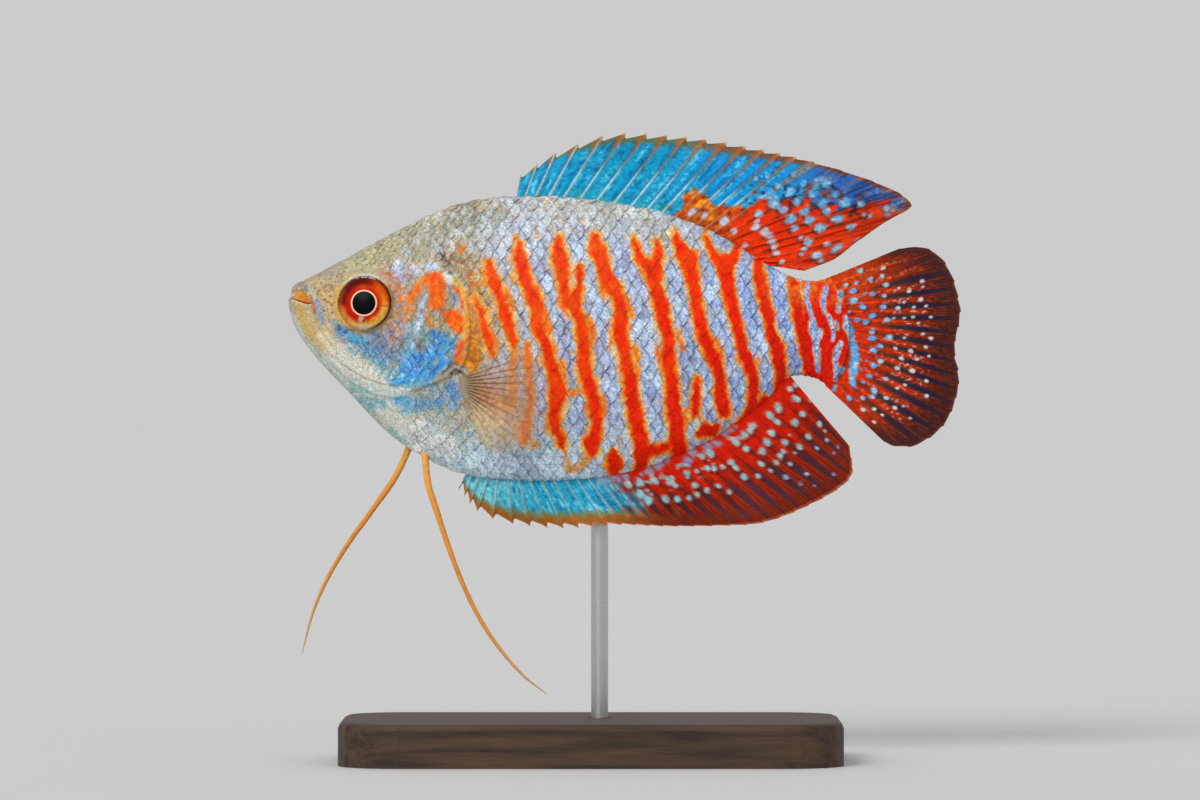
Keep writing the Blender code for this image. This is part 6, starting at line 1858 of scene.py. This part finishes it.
def eye_paint(u, v):
    """Black pupil, pale ring, and an iris from deep red to orange and gold, with a painted highlight
    low in it, a painted catchlight and its edge painted darker towards the rear as shade.
    """
    across, up = u - PUPIL_CENTRE[0], v - PUPIL_CENTRE[1]
    radius, angle = around(u, v, PUPIL_CENTRE)
    fibres = 0.5 * noise(97, angle * 7, radius * 1.8) + 0.4 * noise(98, angle * 16, radius * 3.0)

    def towards(degrees, low, high):
        return facing(angle, degrees, low, high)

    def ring(low, high):
        return ramp(low, high, radius)

    outer = ring(1.75, 2.5)
    iris = layered(
        mix((214, 30, 0), (250, 92, 8), ring(1.6, 2.4) * towards(-10, -0.3, 0.7)),
        ((246, 84, 10), 0.8 * ring(1.5, 2.1) * towards(68, 0.3, 0.9)),
        ((96, 12, 4), 0.95 * outer * towards(128, 0.2, 0.8)),
        ((238, 150, 40), 0.85 * outer * ring(2.75, 2.35) * towards(-15, 0.5, 0.95)),
        ((255, 182, 60), outer * towards(-58, 0.45, 0.9)),
        ((255, 206, 96), 0.7 * ring(1.6, 2.3) * towards(-40, 0.55, 0.95) * ramp(-0.3, 0.5, fibres)),
        # Painted highlight: a pale cream crescent low in the iris
        ((250, 226, 176), 0.95 * ring(2.2, 2.75) * towards(-100, 0.7, 0.95)),
        ((250, 168, 76), 0.9 * ring(2.0, 2.6) * towards(-140, 0.75, 0.97)),
        ((244, 130, 40), 0.5 * ring(2.2, 2.9) * towards(170, 0.8, 0.98)),
        # Painted catchlight: a pale speck in the iris below the pupil
        ((222, 210, 206), 0.9 * ramp(0.5, 0.15, np.hypot(across + 0.3, up + 1.85))),
        ((96, 50, 30), 0.7 * ramp(0.3, 0.05, np.hypot(across + 0.02, up + 2.05))))
    # The dark edge of the iris is its own colour, made darker towards the rear as painted shade
    rim = ramp(2.74, 3.06, radius + 0.05 * fibres) * (0.12 + 0.88 * towards(25, -0.55, 0.25))
    pearl = ring(2.86, 2.98) * towards(98, 0.72, 0.92) * ramp(-0.6, 0.0, noise(53, angle * 12, radius))
    return layered(
        iris * (0.88 + 0.16 * fibres[..., None]),
        ((50, 30, 18), 0.8 * rim),
        ((206, 196, 204), 0.85 * pearl),
        ((252, 208, 168), ring(1.3, 1.36) * ring(1.58, 1.48)),
        ((4, 5, 12), ring(1.37, 1.31)))


def make_eye(name, side, radii, depth, front_count):
    """One eye from the radii and depths of its rings: the front ones carry the iris."""
    sides, step = EYE_SIDES, 0.2
    angle = np.linspace(0.0, 2 * math.pi, sides, endpoint=False)
    eye_u, eye_v = EYE_CENTRE
    slope_u = (flank(eye_u + step, eye_v) - flank(eye_u - step, eye_v)) / (2 * step)
    slope_v = (flank(eye_u, eye_v + step) - flank(eye_u, eye_v - step)) / (2 * step)
    normal = unit(np.array((-slope_u, side, -slope_v)))
    rearward = unit(np.array((1.0, 0.0, 0.0)) - normal * normal[0])
    upward = np.cross(normal, rearward)
    upward *= np.sign(upward[2])
    centre = np.array((eye_u, side * flank(eye_u, eye_v), eye_v)) - normal * EYE_SINK
    ring = np.cos(angle)[:, None] * rearward + np.sin(angle)[:, None] * upward
    points = centre + ring * radii[:, None, None] + normal * depth[:, None, None]
    poles = [centre + normal * EYE_HALF_DEPTH, centre - normal * EYE_HALF_DEPTH]
    points = np.concatenate([points.reshape(-1, 3), poles])
    flip = side == LEFT
    front_pole = len(radii) * sides
    last = front_pole - sides
    faces = grid_faces(len(radii), sides, wrap=True, flip=flip)
    for index in range(sides):
        after = (index + 1) % sides
        fan = [(front_pole, after, index), (front_pole + 1, last + index, last + after)]
        faces += [face[::-1] if flip else face for face in fan]
    colour = eye_paint(points[:, 0], points[:, 2])
    colour[front_count * sides:front_pole] = colour[-1] = colour_of("dark")
    make_piece(f"{name}_ball", points, faces, colour, "eye_gloss", "eye", (name,))


def make_eyes():
    """Both eyes: a smooth glossy front that carries the iris, and a closed back."""
    front = np.linspace(0.0, 0.99, 90)[1:]
    shares = np.concatenate([front, (1.0, 0.93, 0.75, 0.45, 0.2)])
    depth = EYE_HALF_DEPTH * np.sqrt(np.maximum(1 - shares ** 2, 0.0))
    depth[len(front):] *= -1
    for name, side in (("eye_left", LEFT), ("eye_right", RIGHT)):
        make_eye(name, side, shares * EYE_RADIUS, depth, len(front))


def two_tone_material(name, stretch, speckle, colours, roughness, bump=0.0, **surface):
    """Material of two colours in stretched noise, which also varies its roughness."""
    material, tree, shader = new_material(name)
    place = node(tree, "TexCoord").outputs["Object"]
    stretched = node(tree, "Mapping", Vector=place, Scale=stretch).outputs["Vector"]
    grain = node(tree, "TexNoise", Vector=stretched, Scale=1.0, **speckle).outputs["Fac"]
    tones = node(tree, "ValToRGB", Fac=grain)
    for element, (position, colour) in zip(tones.color_ramp.elements, colours):
        element.position = position
        element.color = (*colour, 1.0)
    shine = node(tree, "MapRange", Value=grain, To_Min=roughness[0], To_Max=roughness[1])
    if bump:
        bumps = node(tree, "Bump", Height=grain, Strength=bump, Distance=WOOD_GRAIN_DEPTH * MM)
        set_values(tree, shader, Normal=bumps.outputs["Normal"])
    set_values(tree, shader, Base_Color=tones.outputs["Color"], Roughness=shine.outputs["Result"],
               **surface)
    return material


def wood_material():
    """Dark polished wood with grain along the base."""
    return two_tone_material(
        "dark_wood", stretch=(60.0, 900.0, 900.0),
        speckle={"Detail": 6.0, "Roughness": 0.6, "Distortion": 0.6},
        colours=((0.3, (0.018, 0.009, 0.005)), (0.72, (0.1, 0.052, 0.026))),
        roughness=(0.5, 0.7), bump=0.25,
        Coat_Weight=0.08, Coat_Roughness=0.4, Specular_IOR_Level=0.3)


def steel_material():
    """Brushed steel with fine lines round the rod."""
    return two_tone_material(
        "brushed_rod", stretch=(700.0, 700.0, 14000.0), speckle={"Detail": 3.0},
        colours=((0.0, (0.42, 0.42, 0.43)), (1.0, (0.68, 0.68, 0.69))),
        roughness=(0.22, 0.4), Metallic=1.0)


def floor_material():
    """Pale paper with a faint mottle."""
    dark, light = ((FLOOR_TONE * (1 + part),) * 3 for part in (-FLOOR_MOTTLE, FLOOR_MOTTLE))
    return two_tone_material(
        "floor_paper", stretch=(900.0,) * 3, speckle={"Detail": 3.0},
        colours=((0.0, dark), (1.0, light)), roughness=(0.85, 0.85))


def dress_stand():
    """Wood for the base and brushed steel for the rod."""
    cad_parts["stand_base"].data.materials[0] = wood_material()
    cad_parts["stand_rod"].data.materials[0] = steel_material()


def make_materials():
    """Materials of the fish."""
    painted_material("bare_skin", roughness=0.45, grain=2.4, bump=0.35, specular=0.12,
                     grain_size=0.2, pebbles=True)
    painted_material("scale", roughness=0.42, grain=2.9, bump=0.35, specular=0.1, grain_size=0.22)
    painted_material("fin", roughness=0.48, grain=1.6, bump=0.3, specular=0.08, opacity=True)
    painted_material("veil", roughness=0.45, grain=0.5, bump=0.2, specular=0.1, opacity=True)
    painted_material("feeler_skin", roughness=0.45, grain=0.6, bump=0.4, specular=0.2)
    painted_material("eye_gloss", roughness=0.35, grain=0.4, bump=0.05, specular=0.05, coat=0.02)


def make_floor():
    """Plain pale floor under the stand."""
    mesh = bpy.data.meshes.new("floor")
    corners = [(-1, -1), (1, -1), (1, 1), (-1, 1)]
    mesh.from_pydata([(x * FLOOR_HALF, y * FLOOR_HALF, 0.0) for x, y in corners], [], [(0, 1, 2, 3)])
    floor = bpy.data.objects.new("floor", mesh)
    bpy.context.scene.collection.objects.link(floor)
    mesh.materials.append(floor_material())


def sun_light(name, azimuth, elevation, spread, strength):
    """Soft light from far off; azimuth in degrees to the right of the camera's back."""
    data = bpy.data.lights.new(name, "SUN")
    data.angle = math.radians(spread)
    data.energy = strength
    light = bpy.data.objects.new(name, data)
    turn, rise = math.radians(azimuth), math.radians(elevation)
    towards = Vector((math.sin(turn) * math.cos(rise), -math.cos(turn) * math.cos(rise),
                      math.sin(rise)))
    light.rotation_euler = (-towards).to_track_quat("-Z", "Y").to_euler()
    bpy.context.scene.collection.objects.link(light)


def make_camera():
    """Camera at the photograph's view."""
    (middle_u, middle_v), = photo((PHOTO_CENTRE,))
    target = Vector(((SNOUT_X + middle_u) * MM, 0.0, (MOUTH_Z + middle_v) * MM))
    frame_width = 2 * PHOTO_CENTRE[0] * PHOTO_MM * MM
    data = bpy.data.cameras.new("camera")
    data.lens = LENS
    data.sensor_width = SENSOR
    data.clip_start = 0.01
    camera = bpy.data.objects.new("camera", data)
    camera.location = target + Vector((0.0, -frame_width * LENS / SENSOR, 0.0))
    camera.rotation_euler = (math.pi / 2, 0.0, 0.0)
    bpy.context.scene.collection.objects.link(camera)
    bpy.context.scene.camera = camera


def make_studio():
    """Floor, camera, one soft light and pale surroundings."""
    make_floor()
    make_camera()
    strength = KEY_ON_FLOOR * math.pi / math.sin(math.radians(KEY_ELEVATION))
    sun_light("key_light", KEY_AZIMUTH, KEY_ELEVATION, KEY_SPREAD, strength)
    world = bpy.data.worlds.new("surroundings")
    world.use_nodes = True
    background = world.node_tree.nodes["Background"]
    background.inputs["Color"].default_value = (SURROUND_TONE,) * 3 + (1.0,)
    bpy.context.scene.world = world
    bpy.context.scene.view_settings.view_transform = "Standard"


make_materials()
make_skin()
make_coats()
make_fins()
make_feeler("pelvic_feeler_left", LEFT_FEELER, LEFT)
make_feeler("pelvic_feeler_right", RIGHT_FEELER, RIGHT)
make_eyes()
dress_stand()
make_studio()
